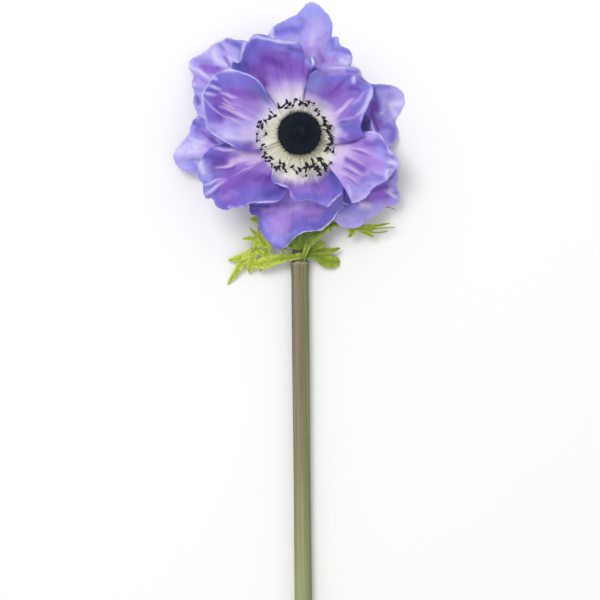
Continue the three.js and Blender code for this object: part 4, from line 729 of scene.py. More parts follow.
class CentreSettings(bpy.types.PropertyGroup):
    """Sizes and colours of the stamens and the carpel head."""

    filament_radius: length("Filament radius", "Half the width of a thread", 0.25)
    anther_radius: length("Anther radius", "Of the largest anthers", 0.72)
    bristle: length("Bristle", "Length of the carpel head's styles", 1.15)
    filament: colour("Filament", "Cream of the threads", "fffbe4")
    filament_foot: colour("Filament foot", "Yellow-green of the threads near the head", "e6ecae")
    anther: colour("Anther", "Near-black of the anthers", "15131f")
    carpel: colour("Carpel", "Bluish black of the head", "141b29")
    # Also laid on the head's top as painted sheen.
    carpel_light: colour("Carpel light", "Greyish tips of the styles", "4f5d70")


class GreenSettings(bpy.types.PropertyGroup):
    """Sizes and colours of the stem and the bracts."""

    bract_thickness: length("Bract thickness", "Of a lobe at its midrib", 0.5)
    bract_bright: colour("Bract bright", "Lit yellow-green", "c8d83a")
    bract_green: colour("Bract green", "Green of the shaded lobes", "8ea51a")
    bract_edge: colour("Bract edge", "Pale edges of the lobes", "dbe488")
    bract_deep: colour("Bract deep", "Dark green at the lobes' feet", "466712")
    stem_brown: colour("Stem brown", "Below the collar, on the left", "776752")
    stem_olive: colour("Stem olive", "Below the collar, on the right", "737443")
    # Light mauve streak, partly painted highlight.
    stem_mauve_highlight: colour("Stem mauve", "Light streak left of the middle", "a89682")
    stem_green: colour("Stem green", "Lower down", "9ba36c")
    stem_grey: colour("Stem grey", "Lower down, on the right", "7e8860")
    # Partly painted shade of the hollow under the bracts and petals.
    pedicel: colour("Pedicel", "Dark green above the collar", "4d5c33")
    neck: colour("Neck", "Pale green inside the bloom, below the stamens", "dfe3b4")
    pith: colour("Pith", "Pale heart of the cut end", "c8cba0")


class StageSettings(bpy.types.PropertyGroup):
    """Floor, light and camera."""

    floor: colour("Floor", "Pale surface", "fafafa")
    sky_light: amount("Sky light", "Even light from all round", 0.74)
    key_power: amount("Key power", "Large soft lamp", 6, unit="POWER")
    view_width: length("View width", "What the camera takes in at the bloom's height", 240)
    camera_height: length("Camera height", "Over the surface", 6018)


def tones(settings, *names):
    """The colours of a settings group that go by these names, as arrays."""
    return [np.array(getattr(settings, name)) for name in names]


def blend(tint, other, share):
    """A tint moved towards another by a share of the way, which may differ from place to place."""
    return tint + (other - tint) * np.asarray(share)[..., None]


# Shapes

CURVE_STEPS = 60  # per point, when a curve is measured


def through(values, places, reflected=True):
    """A smooth cubic through a row of values: at a whole place it meets that value, and between two it keeps
    half the step from the one before to the one after as its slope. Past the ends the row goes on straight,
    or stays level when it isn't reflected."""
    values = np.asarray(values, float)
    before, after = values[0], values[-1]
    if reflected:
        before, after = 2 * values[0] - values[1], 2 * values[-1] - values[-2]
    row = np.concatenate([[before], values, [after]])
    places = np.asarray(places, float)
    k = np.clip(np.floor(places).astype(int), 0, len(values) - 2)
    f = places - k
    if row.ndim > 1:
        f = f[..., None]
    p, a, b, q = row[k], row[k + 1], row[k + 2], row[k + 3]
    slope_a, slope_b = (b - p) / 2, (q - a) / 2
    return (
        (2 * f**3 - 3 * f**2 + 1) * a
        + (f**3 - 2 * f**2 + f) * slope_a
        + (3 * f**2 - 2 * f**3) * b
        + (f**3 - f**2) * slope_b
    )


def evenly_along(points, count):
    """Points at equal steps of length along the smooth curve through a row of points."""
    dense = through(points, np.linspace(0, len(points) - 1, CURVE_STEPS * len(points)))
    steps = np.linalg.norm(np.diff(dense, axis=0), axis=1)
    run = np.concatenate([[0], np.cumsum(steps)])
    wanted = np.linspace(0, run[-1], count)
    return np.stack([np.interp(wanted, run, dense[:, axis]) for axis in range(dense.shape[1])], axis=1)


def smooth_step(low, high, value):
    """0 below low, 1 above high, and an even S between."""
    f = np.clip((value - low) / (high - low), 0, 1)
    return f * f * (3 - 2 * f)


def larger(a, b, width):
    """The larger of two heights, with the corner where they meet rounded over a width."""
    return 0.5 * (a + b + np.hypot(a - b, width))


def wander(x, y, scale, seed):
    """A smooth field between about -1 and 1: three crossed waves whose directions come from a seed."""
    total = 0
    for k in range(3):
        turn = 2.4 * k + 1.7 * seed
        along = x * math.cos(turn) + y * math.sin(turn)
        total = total + np.sin(along * (1 + 0.37 * k) / scale + 5.1 * seed + k)
    return total / 2.2


def on_axis(level):
    """Points on the bloom's axis at levels over its centre."""
    return np.array([0, 0, BLOOM_HEIGHT]) + np.multiply.outer(level, BLOOM_AXIS)


def stroke_mask(x, y, width, strength, path):
    """How strongly a stroke shows at each place: a bell across its path of straight pieces. A narrow stroke
    thins out and fades towards both of its ends."""
    nearest = np.full(x.shape, np.inf)
    share = np.zeros(x.shape)
    steps = [math.dist(a, b) for a, b in zip(path, path[1:])]
    run = 0
    for (ax, ay), (bx, by), step in zip(path, path[1:], steps):
        dx, dy = bx - ax, by - ay
        along = np.clip(((x - ax) * dx + (y - ay) * dy) / step**2, 0, 1)
        away = np.hypot(x - ax - along * dx, y - ay - along * dy)
        share = np.where(away < nearest, (run + along * step) / sum(steps), share)
        nearest = np.minimum(nearest, away)
        run += step
    fade = np.sqrt(np.sin(np.pi * share)) if width < NARROW else 1
    return strength * fade * np.exp(-STROKE_FALL * (nearest / (width * (0.4 + 0.6 * fade))) ** 2)


class HeightMap:
    """The height of what already lies in the flower, seen from above, on a square grid of cells."""

    cell = 0.6
    reach = 66
    widen = 2
    spread_cells = 30
    slope = 0.7
    blurs = 4

    def __init__(self):
        count = round(2 * self.reach / self.cell) + 1
        self.tops = np.full((count, count), float(NOTHING))
        self.rests = self.tops

    def cells(self, x, y):
        return (y + self.reach) / self.cell, (x + self.reach) / self.cell

    def add(self, points):
        """Marks the points of an upper face."""
        rows, columns = (np.rint(v).astype(int) for v in self.cells(points[:, 0], points[:, 1]))
        last = len(self.tops) - 1
        inside = (rows > 0) & (columns > 0) & (rows < last) & (columns < last)
        np.maximum.at(self.tops, (rows[inside], columns[inside]), points[inside, 2])

    def settle(self):
        """The heights to keep above: the tops, widened, sloping off all round, then smoothed."""
        rests = self.tops
        falls = [0] * self.widen + [self.slope * self.cell] * self.spread_cells
        for fall in falls:
            rests = self.spread(rests, fall)
        for _ in range(self.blurs):
            wide = np.pad(rests, 1, mode="edge")
            rests = (wide[:-2] + 2 * wide[1:-1] + wide[2:])[:, 1:-1] / 4
            wide = np.pad(rests, 1, mode="edge")
            rests = (wide[:, :-2] + 2 * wide[:, 1:-1] + wide[:, 2:])[1:-1] / 4
        self.rests = rests

    def spread(self, rests, fall):
        """Each cell raised to its highest neighbour, less the fall on the way from there."""
        wide = np.pad(rests, 1, constant_values=NOTHING)
        sides = np.maximum.reduce([wide[:-2, 1:-1], wide[2:, 1:-1], wide[1:-1, :-2], wide[1:-1, 2:]])
        corners = np.maximum.reduce([wide[:-2, :-2], wide[2:, :-2], wide[:-2, 2:], wide[2:, 2:]])
        return np.maximum.reduce([rests, sides - fall, corners - fall * math.sqrt(2)])

    def under(self, x, y):
        """The height to keep above at each place, blended between cells."""
        rows, columns = self.cells(x, y)
        last = len(self.tops) - 2
        low = np.clip(np.floor(rows).astype(int), 0, last)
        left = np.clip(np.floor(columns).astype(int), 0, last)
        b, a = rows - low, columns - left
        lower = (1 - a) * self.rests[low, left] + a * self.rests[low, left + 1]
        upper = (1 - a) * self.rests[low + 1, left] + a * self.rests[low + 1, left + 1]
        return (1 - b) * lower + b * upper


lying = HeightMap()


class Shape:
    """Points, faces, colours and pattern places of one piece, gathered part by part."""

    def __init__(self):
        self.points, self.quads, self.tints, self.places = [], [], [], []
        self.count = 0

    def add(self, points, quads, tint, places):
        """One part: its points in mm, faces as rows of four, a tint and a pattern place for each point."""
        self.points.append(points.reshape(-1, 3))
        self.quads.append(np.asarray(quads).reshape(-1, 4) + self.count)
        self.tints.append(np.broadcast_to(tint, points.shape).reshape(-1, 3))
        self.places.append(places.reshape(-1, 2))
        self.count += len(self.points[-1])

    def blade(self, top, bottom, tint_top, tint_bottom, places):
        """A thin blade: the top grid, the bottom grid turned over, and a band between them round the rim."""
        rows, columns = top.shape[:2]
        at = np.arange(rows * columns).reshape(rows, columns)
        under = rows * columns
        upper = np.stack([at[:-1, :-1], at[:-1, 1:], at[1:, 1:], at[1:, :-1]], axis=-1).reshape(-1, 4)
        rim = np.concatenate([at[0, :-1], at[:-1, -1], at[-1, :0:-1], at[:0:-1, 0]])
        onward = np.roll(rim, -1)
        band = np.stack([rim, rim + under, onward + under, onward], axis=-1)
        quads = np.concatenate([upper, upper[:, ::-1] + under, band])
        across, along = top[0, -1] - top[0, 0], top[-1, 0] - top[0, 0]
        if across[0] * along[1] - across[1] * along[0] < 0:
            quads = quads[:, ::-1]
        points = np.concatenate([top.reshape(-1, 3), bottom.reshape(-1, 3)])
        tint = np.concatenate([tint_top.reshape(-1, 3), tint_bottom.reshape(-1, 3)])
        flat = places.reshape(-1, 2)
        self.add(points, quads, tint, np.concatenate([flat, flat]))

    def tube(self, rings, tint, places, looped=False):
        """A closed body through a row of rings. It ends in a point at the middle of its first and of its last
        ring, or, when looped, it runs on from its last ring into its first."""
        count, sides = rings.shape[:2]
        at = np.arange(count * sides).reshape(count, sides)
        if looped:
            at = np.concatenate([at, at[:1]])
        else:
            rings = rings.copy()
            rings[[0, -1]] = rings[[0, -1]].mean(axis=1, keepdims=True)
            at[[0, -1]] = at[[0, -1], :1]
        onward = np.roll(at, -1, axis=1)
        wall = np.stack([at[:-1], at[1:], onward[1:], onward[:-1]], axis=-1).reshape(-1, 4)
        self.add(rings, wall, tint, places)

    def build(self, name, material, node):
        """The finished object, riding on the body and standing for its node. A face that meets a pole has the
        same corner twice in a row, and becomes a triangle."""
        quads = np.concatenate(self.quads)
        distinct = quads != np.roll(quads, 1, axis=1)
        sizes = distinct.sum(axis=1)
        used, corners = np.unique(quads[distinct], return_inverse=True)
        points = (np.concatenate(self.points)[used] + ORIGIN) * MM
        tints = np.concatenate(self.tints)[used]
        mesh = bpy.data.meshes.new(name)
        mesh.vertices.add(len(points))
        mesh.vertices.foreach_set("co", points.ravel())
        mesh.loops.add(len(corners))
        mesh.loops.foreach_set("vertex_index", corners.ravel().astype(np.int32))
        mesh.polygons.add(len(quads))
        mesh.polygons.foreach_set("loop_start", (np.cumsum(sizes) - sizes).astype(np.int32))
        mesh.polygons.foreach_set("use_smooth", np.ones(len(quads), bool))
        tint = mesh.attributes.new("tint", "FLOAT_COLOR", "POINT")
        tint.data.foreach_set("color", np.concatenate([tints, np.ones((len(tints), 1))], axis=1).ravel())
        pattern = mesh.uv_layers.new(name="pattern")
        pattern.data.foreach_set("uv", np.concatenate(self.places)[quads[distinct]].ravel())
        mesh.update()
        mesh.validate()
        mesh.materials.append(material)
        piece = link(name, mesh)
        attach(piece, "root")
        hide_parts(node)


def ring_grid(centres, directions, radii, angles):
    """Rings of points, each square to its direction: centre + radius x (cosine across + sine up). Across is
    the X axis turned square to the direction, and up is square to both. There is one radius, or one for each
    ring, or one for each point."""
    directions = np.broadcast_to(directions, centres.shape)
    across = unit(np.array([1, 0, 0]) - directions * directions[:, :1])
    up = np.cross(across, directions)
    radii = np.asarray(radii)
    if radii.ndim == 1:
        radii = radii[:, None]
    turned = np.cos(angles)[:, None] * across[:, None] + np.sin(angles)[:, None] * up[:, None]
    return centres[:, None] + radii[..., None] * turned


def circle(sides):
    """Angles of evenly spread sides, with the first and the last one to each side of the lowest place."""
    return -math.pi / 2 + (np.arange(sides) + 0.5) * 2 * math.pi / sides


def ring_places(rings, turns=1):
    """Pattern places of a row of rings: alike on both sides, from 0 up to some turns, and 0 to 1 along."""
    count, sides = rings.shape[:2]
    around = np.abs(np.linspace(-1, 1, sides)) * turns
    along = np.linspace(0, 1, count)[:, None]
    return np.stack(np.broadcast_arrays(around, along), axis=-1)


def unit(vectors):
    return vectors / np.linalg.norm(vectors, axis=-1, keepdims=True)


def link(name, data):
    """A new object of the scene."""
    added = bpy.data.objects.new(name, data)
    bpy.context.scene.collection.objects.link(added)
    return added


# Materials

COLOURED_RADII = (19, 27)  # where a petal's white zone gives way to its colours


class Value:
    """A number socket of a shader. Sums and products of values add the nodes that work them out."""

    def __init__(self, paint, socket):
        self.paint = paint
        self.socket = socket

    def reckon(self, operation, a, b):
        node = self.paint.node("ShaderNodeMath", {"operation": operation}, {"Value": a, "Value_001": b})
        return Value(self.paint, node.outputs[0])

    def __add__(self, other):
        return self.reckon("ADD", self, other)

    __radd__ = __add__

    def __sub__(self, other):
        return self.reckon("SUBTRACT", self, other)

    def __rsub__(self, other):
        return self.reckon("SUBTRACT", other, self)

    def __mul__(self, other):
        return self.reckon("MULTIPLY", self, other)

    __rmul__ = __mul__


class Paint:
    """A material and the nodes that make it."""

    def __init__(self, name, sheen=0, specular=0.5):
        self.material = bpy.data.materials.new(name)
        self.material.use_nodes = True
        self.tree = self.material.node_tree
        self.shader = self.tree.nodes["Principled BSDF"]
        self.shader.inputs["Sheen Weight"].default_value = sheen
        self.shader.inputs["Specular IOR Level"].default_value = specular

    def put(self, socket, value):
        """A number, colour or link into a socket."""
        if isinstance(value, Value):
            value = value.socket
        if isinstance(value, bpy.types.NodeSocket):
            self.tree.links.new(value, socket)
        else:
            socket.default_value = value

    def node(self, kind, settings, sockets):
        """A node of a kind, with its settings and then its sockets, which go by their identifiers."""
        node = self.tree.nodes.new(kind)
        for name, setting in settings.items():
            setattr(node, name, setting)
        for name, value in sockets.items():
            self.put(next(socket for socket in node.inputs if socket.identifier == name), value)
        return node

    def tint(self):
        return self.node("ShaderNodeAttribute", {"attribute_name": "tint"}, {}).outputs["Color"]

    def place(self):
        """The piece's position, in mm."""
        here = self.node("ShaderNodeTexCoord", {}, {}).outputs["Object"]
        sockets = {"Vector": here, "Scale": (1 / MM, 1 / MM, 1 / MM)}
        return self.node("ShaderNodeMapping", {}, sockets).outputs[0]

    def distance(self, centre):
        """How far each place is from a centre, in mm."""
        sockets = {"Vector": self.place(), "Vector_001": tuple(centre)}
        node = self.node("ShaderNodeVectorMath", {"operation": "DISTANCE"}, sockets)
        return Value(self, node.outputs["Value"])

    def grey(self, value):
        sockets = {"Red": value, "Green": value, "Blue": value}
        return self.node("ShaderNodeCombineColor", {}, sockets).outputs[0]

    def pattern(self, across, along):
        """The piece's own pattern places, stretched."""
        here = self.node("ShaderNodeUVMap", {"uv_map": "pattern"}, {}).outputs["UV"]
        return self.node("ShaderNodeMapping", {}, {"Vector": here, "Scale": (across, along, 1)}).outputs[0]

    def noise(self, vector, scale, detail=3, distortion=0):
        sockets = {"Vector": vector, "Scale": scale, "Detail": detail, "Distortion": distortion}
        return Value(self, self.node("ShaderNodeTexNoise", {}, sockets).outputs["Fac"])

    def between(self, value, low, high):
        """0 where a value is below low, 1 where it is above high, smooth between."""
        settings = {"interpolation_type": "SMOOTHSTEP"}
        sockets = {"Value": value, "From Min": low, "From Max": high}
        return Value(self, self.node("ShaderNodeMapRange", settings, sockets).outputs[0])

    def mix(self, factor, one, other, blend_type="MIX"):
        """One colour mixed with another. A colour is a socket, or its red, green and blue."""
        one, other = (c if isinstance(c, bpy.types.NodeSocket) else (*c, 1) for c in (one, other))
        settings = {"data_type": "RGBA", "blend_type": blend_type}
        sockets = {"Factor_Float": factor, "A_Color": one, "B_Color": other}
        node = self.node("ShaderNodeMix", settings, sockets)
        return next(socket for socket in node.outputs if socket.identifier == "Result_Color")

    def finish(self, base, roughness, height=None, depth=0):
        """Puts the colour, the roughness and the fine relief on the shader. Depth is in mm."""
        self.put(self.shader.inputs["Base Color"], base)
        self.put(self.shader.inputs["Roughness"], roughness)
        if height is not None:
            bump = self.node("ShaderNodeBump", {}, {"Strength": 1, "Distance": depth * MM, "Height": height})
            self.put(self.shader.inputs["Normal"], bump.outputs[0])
        return self.material


def petal_paint(settings):
    """Silky petal: the given tones, with soft clouds of violet outside the eye, thin plum veins, and fine
    light and dark streaks from claw to margin."""
    paint = Paint("petal", sheen=0.12, specular=0.3)
    streaks = paint.noise(paint.pattern(30, 2.4), 1, detail=5, distortion=0.7)
    veins = paint.noise(paint.pattern(80, 4), 1, detail=2, distortion=0.8)
    clouds = paint.noise(paint.place(), 0.2, detail=3)
    coloured = paint.between(paint.distance(ORIGIN + on_axis(0)), *COLOURED_RADII)
    base = paint.mix(paint.between(clouds, 0.5, 0.75) * coloured * 0.3, paint.tint(), settings.violet)
    base = paint.mix(paint.between(veins, 0.6, 0.74) * coloured * 0.06, base, settings.plum)
    light_and_dark = paint.grey(0.5 + (streaks - 0.5) * 1.5)
    base = paint.mix(0.03 + 0.07 * coloured, base, light_and_dark, "OVERLAY")
    grain = paint.noise(paint.place(), 6, detail=2)
    height = (streaks * 0.7 + veins * 0.25) * (0.3 + 0.7 * coloured) + grain * 0.12
    return paint.finish(base, 0.5 + 0.24 * streaks, height, depth=0.2)


def bract_paint(settings):
    """Leafy bract: the tint, darker mottling, and pale fibres along the lobes."""
    paint = Paint("bract", sheen=0.05)
    mottle = paint.noise(paint.place(), 0.9, detail=4)
    fibres = paint.noise(paint.pattern(14, 3), 1, detail=3, distortion=0.5)
    base = paint.mix(paint.between(mottle, 0.46, 0.66) * 0.4, paint.tint(), settings.bract_deep)
    base = paint.mix(paint.between(fibres, 0.54, 0.7) * 0.35, base, settings.bract_edge)
    return paint.finish(base, 0.5 + 0.25 * mottle, fibres * 0.6 + mottle * 0.4, depth=0.3)


def stem_paint(settings):
    """Scape: the tint, olive and pale fibres along it, and small brown flecks."""
    paint = Paint("stem", sheen=0.05)
    fibres = paint.noise(paint.pattern(34, 5), 1, detail=4)
    flecks = paint.noise(paint.place(), 0.8, detail=4)
    base = paint.mix(paint.between(fibres, 0.46, 0.68) * 0.5, paint.tint(), settings.stem_olive)
    base = paint.mix(paint.between(1 - fibres, 0.5, 0.68) * 0.22, base, settings.pith)
    base = paint.mix(paint.between(flecks, 0.58, 0.7) * 0.25, base, settings.stem_brown)
    return paint.finish(base, 0.45 + 0.3 * fibres, fibres * 0.8 + flecks * 0.2, depth=0.25)


def stamen_paint(settings):
    """Threads and anthers: the tint with powdery grains."""
    paint = Paint("stamen")
    grain = paint.noise(paint.place(), 3.2, detail=3)
    base = paint.mix(paint.between(grain, 0.52, 0.75) * 0.25, paint.tint(), settings.carpel_light)
    return paint.finish(base, 0.6 + 0.3 * grain, grain, depth=0.12)


def carpel_paint(settings):
    """Carpel head: the tint with greyish grains."""
    paint = Paint("carpel", specular=0.3)
    grain = paint.noise(paint.place(), 2.4, detail=4)
    base = paint.mix(paint.between(grain, 0.5, 0.75) * 0.35, paint.tint(), settings.carpel_light)
    return paint.finish(base, 0.7 + 0.25 * grain, grain, depth=0.2)


# Petals

PETAL_ROWS = 100
PETAL_COLUMNS = 140
PETAL_S = np.linspace(0, 1, PETAL_ROWS)[:, None]  # from claw to margin
PETAL_U = np.linspace(-1, 1, PETAL_COLUMNS)[None, :]  # from one side to the other
CREAM_RADIUS = 13
CREAM_DROP = 3  # added below, taken off above
CLAW_HUG = 0.9  # fall of a petal's sides near its claw
MARGIN_TOOTH = 0.17
MARGIN_TOOTH_LENGTH = 0.5
MARGIN_THINNING = 0.55
CLEARING = 0.6  # how gently a petal rises over what lies below
FINE_RIPPLES = 13
FINEST_RIPPLES = 29
RIDGE_WIDTH = 1.4  # strokes that are wider stand out no further
TINT_WANDER = 0.22


def petal_relief(petal, x, y, ripple):
    """How far a petal's relief lies over its smooth form: sides that fall near the claw and rise by its cup
    further out, pleats from claw to margin, a waved margin, fine ripples that fan out, and a ridge or a
    groove under each stroke of colour."""
    s, u = PETAL_S, PETAL_U
    count, depth, phase = petal.pleats
    sides = petal.cup * u**2 * s - CLAW_HUG * u**4 * (1 - smooth_step(0.3, 0.7, s))
    pleat = depth * np.sin(np.pi * s) * np.cos(np.pi * count * u + phase)
    waves, wave_depth, wave_phase = petal.ruffle
    wave = wave_depth * s**4 * np.cos(np.pi * waves * u + wave_phase)
    crimp = 0.35 * wave_depth * s**9 * np.cos(np.pi * (2 * waves + 3) * u + 2 * wave_phase + 2 * s)
    fan = np.cos(np.pi * FINE_RIPPLES * u + 2.2 * wander(x, y, 6, phase))
    fan = fan + 0.6 * np.cos(np.pi * FINEST_RIPPLES * u + 3 * s)
    relief = sides + pleat + wave + crimp + ripple * s * np.sin(np.pi * np.minimum(s, 0.9)) * fan
    for tone, width, strength, *path in petal.strokes:
        ridge = stroke_mask(x, y, width, strength, path)
        relief = relief + TONE_RELIEF[tone] * min(width, RIDGE_WIDTH) * ridge
    return relief


def petal_face(petal, claw_level, settings):
    """The middle face of a petal. Each line runs from the claw to its place on the margin, and its height is
    the bloom's plane plus the petal's levels and relief, kept above what lies below."""
    angle = math.radians(petal.azimuth)
    out = np.array([math.cos(angle), math.sin(angle)])
    aside = np.array([-out[1], out[0]])
    edge = evenly_along(np.array(petal.margin), PETAL_COLUMNS)
    teeth = wander(edge[:, :1], edge[:, 1:], MARGIN_TOOTH_LENGTH, petal.azimuth)
    edge += unit(edge) * MARGIN_TOOTH * teeth
    start = on_axis(claw_level)[:2] + CLAW_REACH * out + PETAL_U.T * CLAW_HALF_WIDTH * aside
    way = edge - start
    first, rest = petal.swell
    ahead = (way @ out) * PETAL_S
    beside = (way @ aside) * PETAL_S ** (first + (rest - first) * smooth_step(-1, 0, PETAL_U))
    x = start[:, 0] + ahead * out[0] + beside * aside[0]
    y = start[:, 1] + ahead * out[1] + beside * aside[1]
    plane = BLOOM_HEIGHT + claw_level - BLOOM_TILT[0] * x - BLOOM_TILT[1] * y
    levels = through(petal.levels, PETAL_S * 3, reflected=False)
    wanted = plane + levels + petal_relief(petal, x, y, settings.ripple / MM)
    gap = settings.gap * (0.4 + 0.6 * smooth_step(0.3, 0.7, PETAL_S))
    least = lying.under(x, y) + (gap + settings.thickness / 2) / MM
    return np.stack([x, y, larger(wanted, least, CLEARING)], axis=-1)


def petal_tint(petal, face, settings):
    """The petal's colours, laid as soft strokes over its ground, then the pale eye round the centre. The eye
    ends in tongues that run out along the petal."""
    x, y = face[..., 0], face[..., 1]
    x, y = x + TINT_WANDER * wander(x, y, 1.6, 3), y + TINT_WANDER * wander(x, y, 1.8, 8)
    near, middle, far = tones(settings, *petal.ground)
    lilac, eye, cream = tones(settings, "lilac", "eye", "cream")
    s = PETAL_S + 0.07 * wander(x, y, 3, petal.azimuth)
    tint = blend(near, middle, smooth_step(0.38, 0.66, s))
    tint = blend(tint, far, smooth_step(0.7, 0.98, s))
    tint = blend(tint, lilac, 0.25 * smooth_step(0.1, 0.9, wander(x, y, 5, petal.azimuth)))
    # Some strokes are painted shade under other petals' margins and in grooves, and some painted highlight on
    # rims and ridges.
    for tone, width, strength, *path in petal.strokes:
        tint = blend(tint, *tones(settings, tone), stroke_mask(x, y, width, strength, path))
    azimuth = np.arctan2(y, x)
    radius = np.hypot(x, y)
    tongues = np.sin(19 * azimuth) + 0.7 * np.sin(43 * azimuth + 1) + 0.5 * np.sin(71 * azimuth + 2)
    eye_end, softness = petal.eye
    tint = blend(tint, eye, 1 - smooth_step(eye_end - softness, eye_end + softness, radius - 0.3 * tongues))
    cream_end = CREAM_RADIUS - CREAM_DROP * np.sin(azimuth)
    return blend(tint, cream, 1 - smooth_step(cream_end - 2, cream_end + 2.5, radius + 0.3 * tongues))


def make_petal(petal, claw_level, material, settings):
    """A blade of even thickness about the petal's face, thinner at the margin, lying flat on the surface
    where it would dip below it. Its rim catches the light here and there, and its back is washed with lilac
    outside the eye."""
    face = petal_face(petal, claw_level, settings)
    thin = 1 - MARGIN_THINNING * smooth_step(0.9, 1, np.maximum(PETAL_S, np.abs(PETAL_U)))
    normal = unit(np.cross(np.gradient(face, axis=0), np.gradient(face, axis=1)))
    upright = settings.thickness / MM * thin / np.maximum(np.abs(normal[..., 2]), 0.6)
    low = np.maximum(face[..., 2] - upright / 2, 0)
    bottom = np.concatenate([face[..., :2], low[..., None]], axis=-1)
    top = np.concatenate([face[..., :2], (low + upright)[..., None]], axis=-1)
    places = np.stack(np.broadcast_arrays(PETAL_U / 2 + petal.azimuth / 7, PETAL_S), axis=-1)
    pale, lilac = tones(settings, "pale", "lilac")
    catches = 0.5 + 0.5 * wander(face[..., 0], face[..., 1], 4, petal.azimuth)
    tint = blend(petal_tint(petal, face, settings), pale, 0.35 * catches * smooth_step(0.98, 1, PETAL_S))
    back = blend(tint, lilac, 0.6 * smooth_step(0.4, 0.65, PETAL_S))
    shape = Shape()
    shape.blade(top, bottom, tint, back, places)
    shape.build(petal.name + "_silk", material, petal.name)
    lying.add(top.reshape(-1, 3))


class ANEMONE_OT_petals(bpy.types.Operator):
    """Make the outer and the inner petals, each resting on those below it"""

    bl_idname = "anemone.petals"
    bl_label = "Petals"

    def execute(self, context):
        settings = context.scene.anemone_petals
        material = petal_paint(settings)
        whorls = [
            (OUTER_PETALS, OUTER_CLAW_LEVEL, "petal_outer"),
            (INNER_PETALS, INNER_CLAW_LEVEL, "petal_inner"),
        ]
        for petals, claw_level, slot in whorls:
            for petal in petals:
                lying.settle()
                make_petal(petal, claw_level, material, settings)
        return {"FINISHED"}


# Bracts

LOBE_ROWS = 26
LOBE_OFFSETS = np.array([-1, -0.8, -0.5, -0.2, 0, 0.2, 0.5, 0.8, 1])
LOBE_CURL = 0.12
MIDRIB_DEPTH = 0.14
SHADE_Y = (-47.5, -41)  # where the bloom's shade begins and is full
SHADE_X = (7, 12.5)  # where it gives out to each side
LIT_X = (13, 21)


def make_lobe(shape, stations, number, tints, thickness):
    """One lobe: a thin blade along its midrib, folded up on both sides of it, rounded off at its end. Its
    midrib is dark, its edges are light, and it is darker near the bloom, which shades it."""
    stations = np.array(stations, float)
    t = np.linspace(0, 1, LOBE_ROWS)
    places = t * (len(stations) - 1)
    point = through(stations[:, :3], places)
    direction = unit(np.gradient(point, axis=0))
    aside = unit(np.stack([-direction[:, 1], direction[:, 0]], axis=-1))
    half = through(stations[:, 3], places, reflected=False)
    half = half * (1 + 0.035 * np.sin(t * 23 + number)) * np.sqrt(1 - 0.97 * smooth_step(0.86, 1, t) ** 2)
    t = t[:, None]
    edge = np.abs(LOBE_OFFSETS)
    offset = half[:, None] * LOBE_OFFSETS
    x = point[:, :1] + offset * aside[:, :1]
    y = point[:, 1:2] + offset * aside[:, 1:]
    curl = LOBE_CURL * np.sin(t * 9 + number) * edge**2
    z = point[:, 2:] + BRACT_FOLD * np.abs(offset) + curl - MIDRIB_DEPTH * np.exp(-((edge * 6) ** 2))
    thin = thickness * (1 - 0.5 * edge**4)
    low = np.maximum(z - thin / 2, 0)
    bottom = np.stack([x, y, low], axis=-1)
    top = np.stack([x, y, low + thin], axis=-1)
    bright, green, deep, pale = tints
    tint = blend(green, bright, smooth_step(0.1, 0.7, t) * (0.5 + 0.5 * edge))
    tint = blend(tint, deep, 0.35 * (1 - smooth_step(0, 0.45, t)))
    shade = 0.6 * smooth_step(*SHADE_Y, y) * (1 - 0.8 * smooth_step(*SHADE_X, np.abs(x)))
    tint = blend(tint, deep, shade)
    tint = blend(tint, bright, 0.6 * smooth_step(*LIT_X, np.abs(x)))
    tint = blend(tint, deep, 0.38 * np.exp(-((edge * 4.5) ** 2)))
    tint = blend(tint, pale, 0.5 * smooth_step(0.6, 1, edge) * (1 - shade))
    pattern = np.stack(np.broadcast_arrays(LOBE_OFFSETS + number, t), axis=-1)
    shape.blade(top, bottom, tint, tint * 0.85, pattern)
    lying.add(top.reshape(-1, 3))


class ANEMONE_OT_bracts(bpy.types.Operator):
    """Make the whorl of three cut leaves below the bloom"""

    bl_idname = "anemone.bracts"
    bl_label = "Bracts"

    def execute(self, context):
        settings = context.scene.anemone_greens
        material = bract_paint(settings)
        bright, green, deep, pale = tones(settings, "bract_bright", "bract_green", "bract_deep", "bract_edge")
        tints = {
            "bract_left": (bright, (2 * bright + green) / 3, deep, pale),
            "bract_right": ((bright + 4 * green) / 5, (4 * green + deep) / 5, deep, (bright + green) / 2),
            "bract_front": ((bright + green) / 2, (green + deep) / 2, deep, bright),
        }
        for name, lobes in BRACTS.items():
            shape = Shape()
            for number, stations in enumerate(lobes):
                make_lobe(shape, stations, number, tints[name], settings.bract_thickness / MM)
            shape.build(name + "_leaf", material, name)
        return {"FINISHED"}


# Stem

STEM_SIDES = 64
SCAPE_ROWS = 190
PEDICEL_ROWS = 44
BEND_ROWS = 30
STEM_SWELL = 0.06
STEM_SWELL_LENGTH = 17
STEM_GREEN_Y = (-205, -90)  # green below, brown above


def bend_points(t):
    """The cubic curve that carries the pedicel up into the bloom, and its directions."""
    start = np.array([PEDICEL_TOP_X, BEND_START_Y, STEM_AXIS_HEIGHT])
    a, b, c, d = np.array(
        [
            start,
            start + BEND_START_REACH,
            on_axis(BEND_END_LEVEL - BEND_END_REACH),
            on_axis(BEND_END_LEVEL),
        ]
    )
    t = t[:, None]
    point = (1 - t) ** 3 * a + 3 * (1 - t) ** 2 * t * b + 3 * (1 - t) * t**2 * c + t**3 * d
    way = (1 - t) ** 2 * (b - a) + 2 * (1 - t) * t * (c - b) + t**2 * (d - c)
    return point, unit(way)


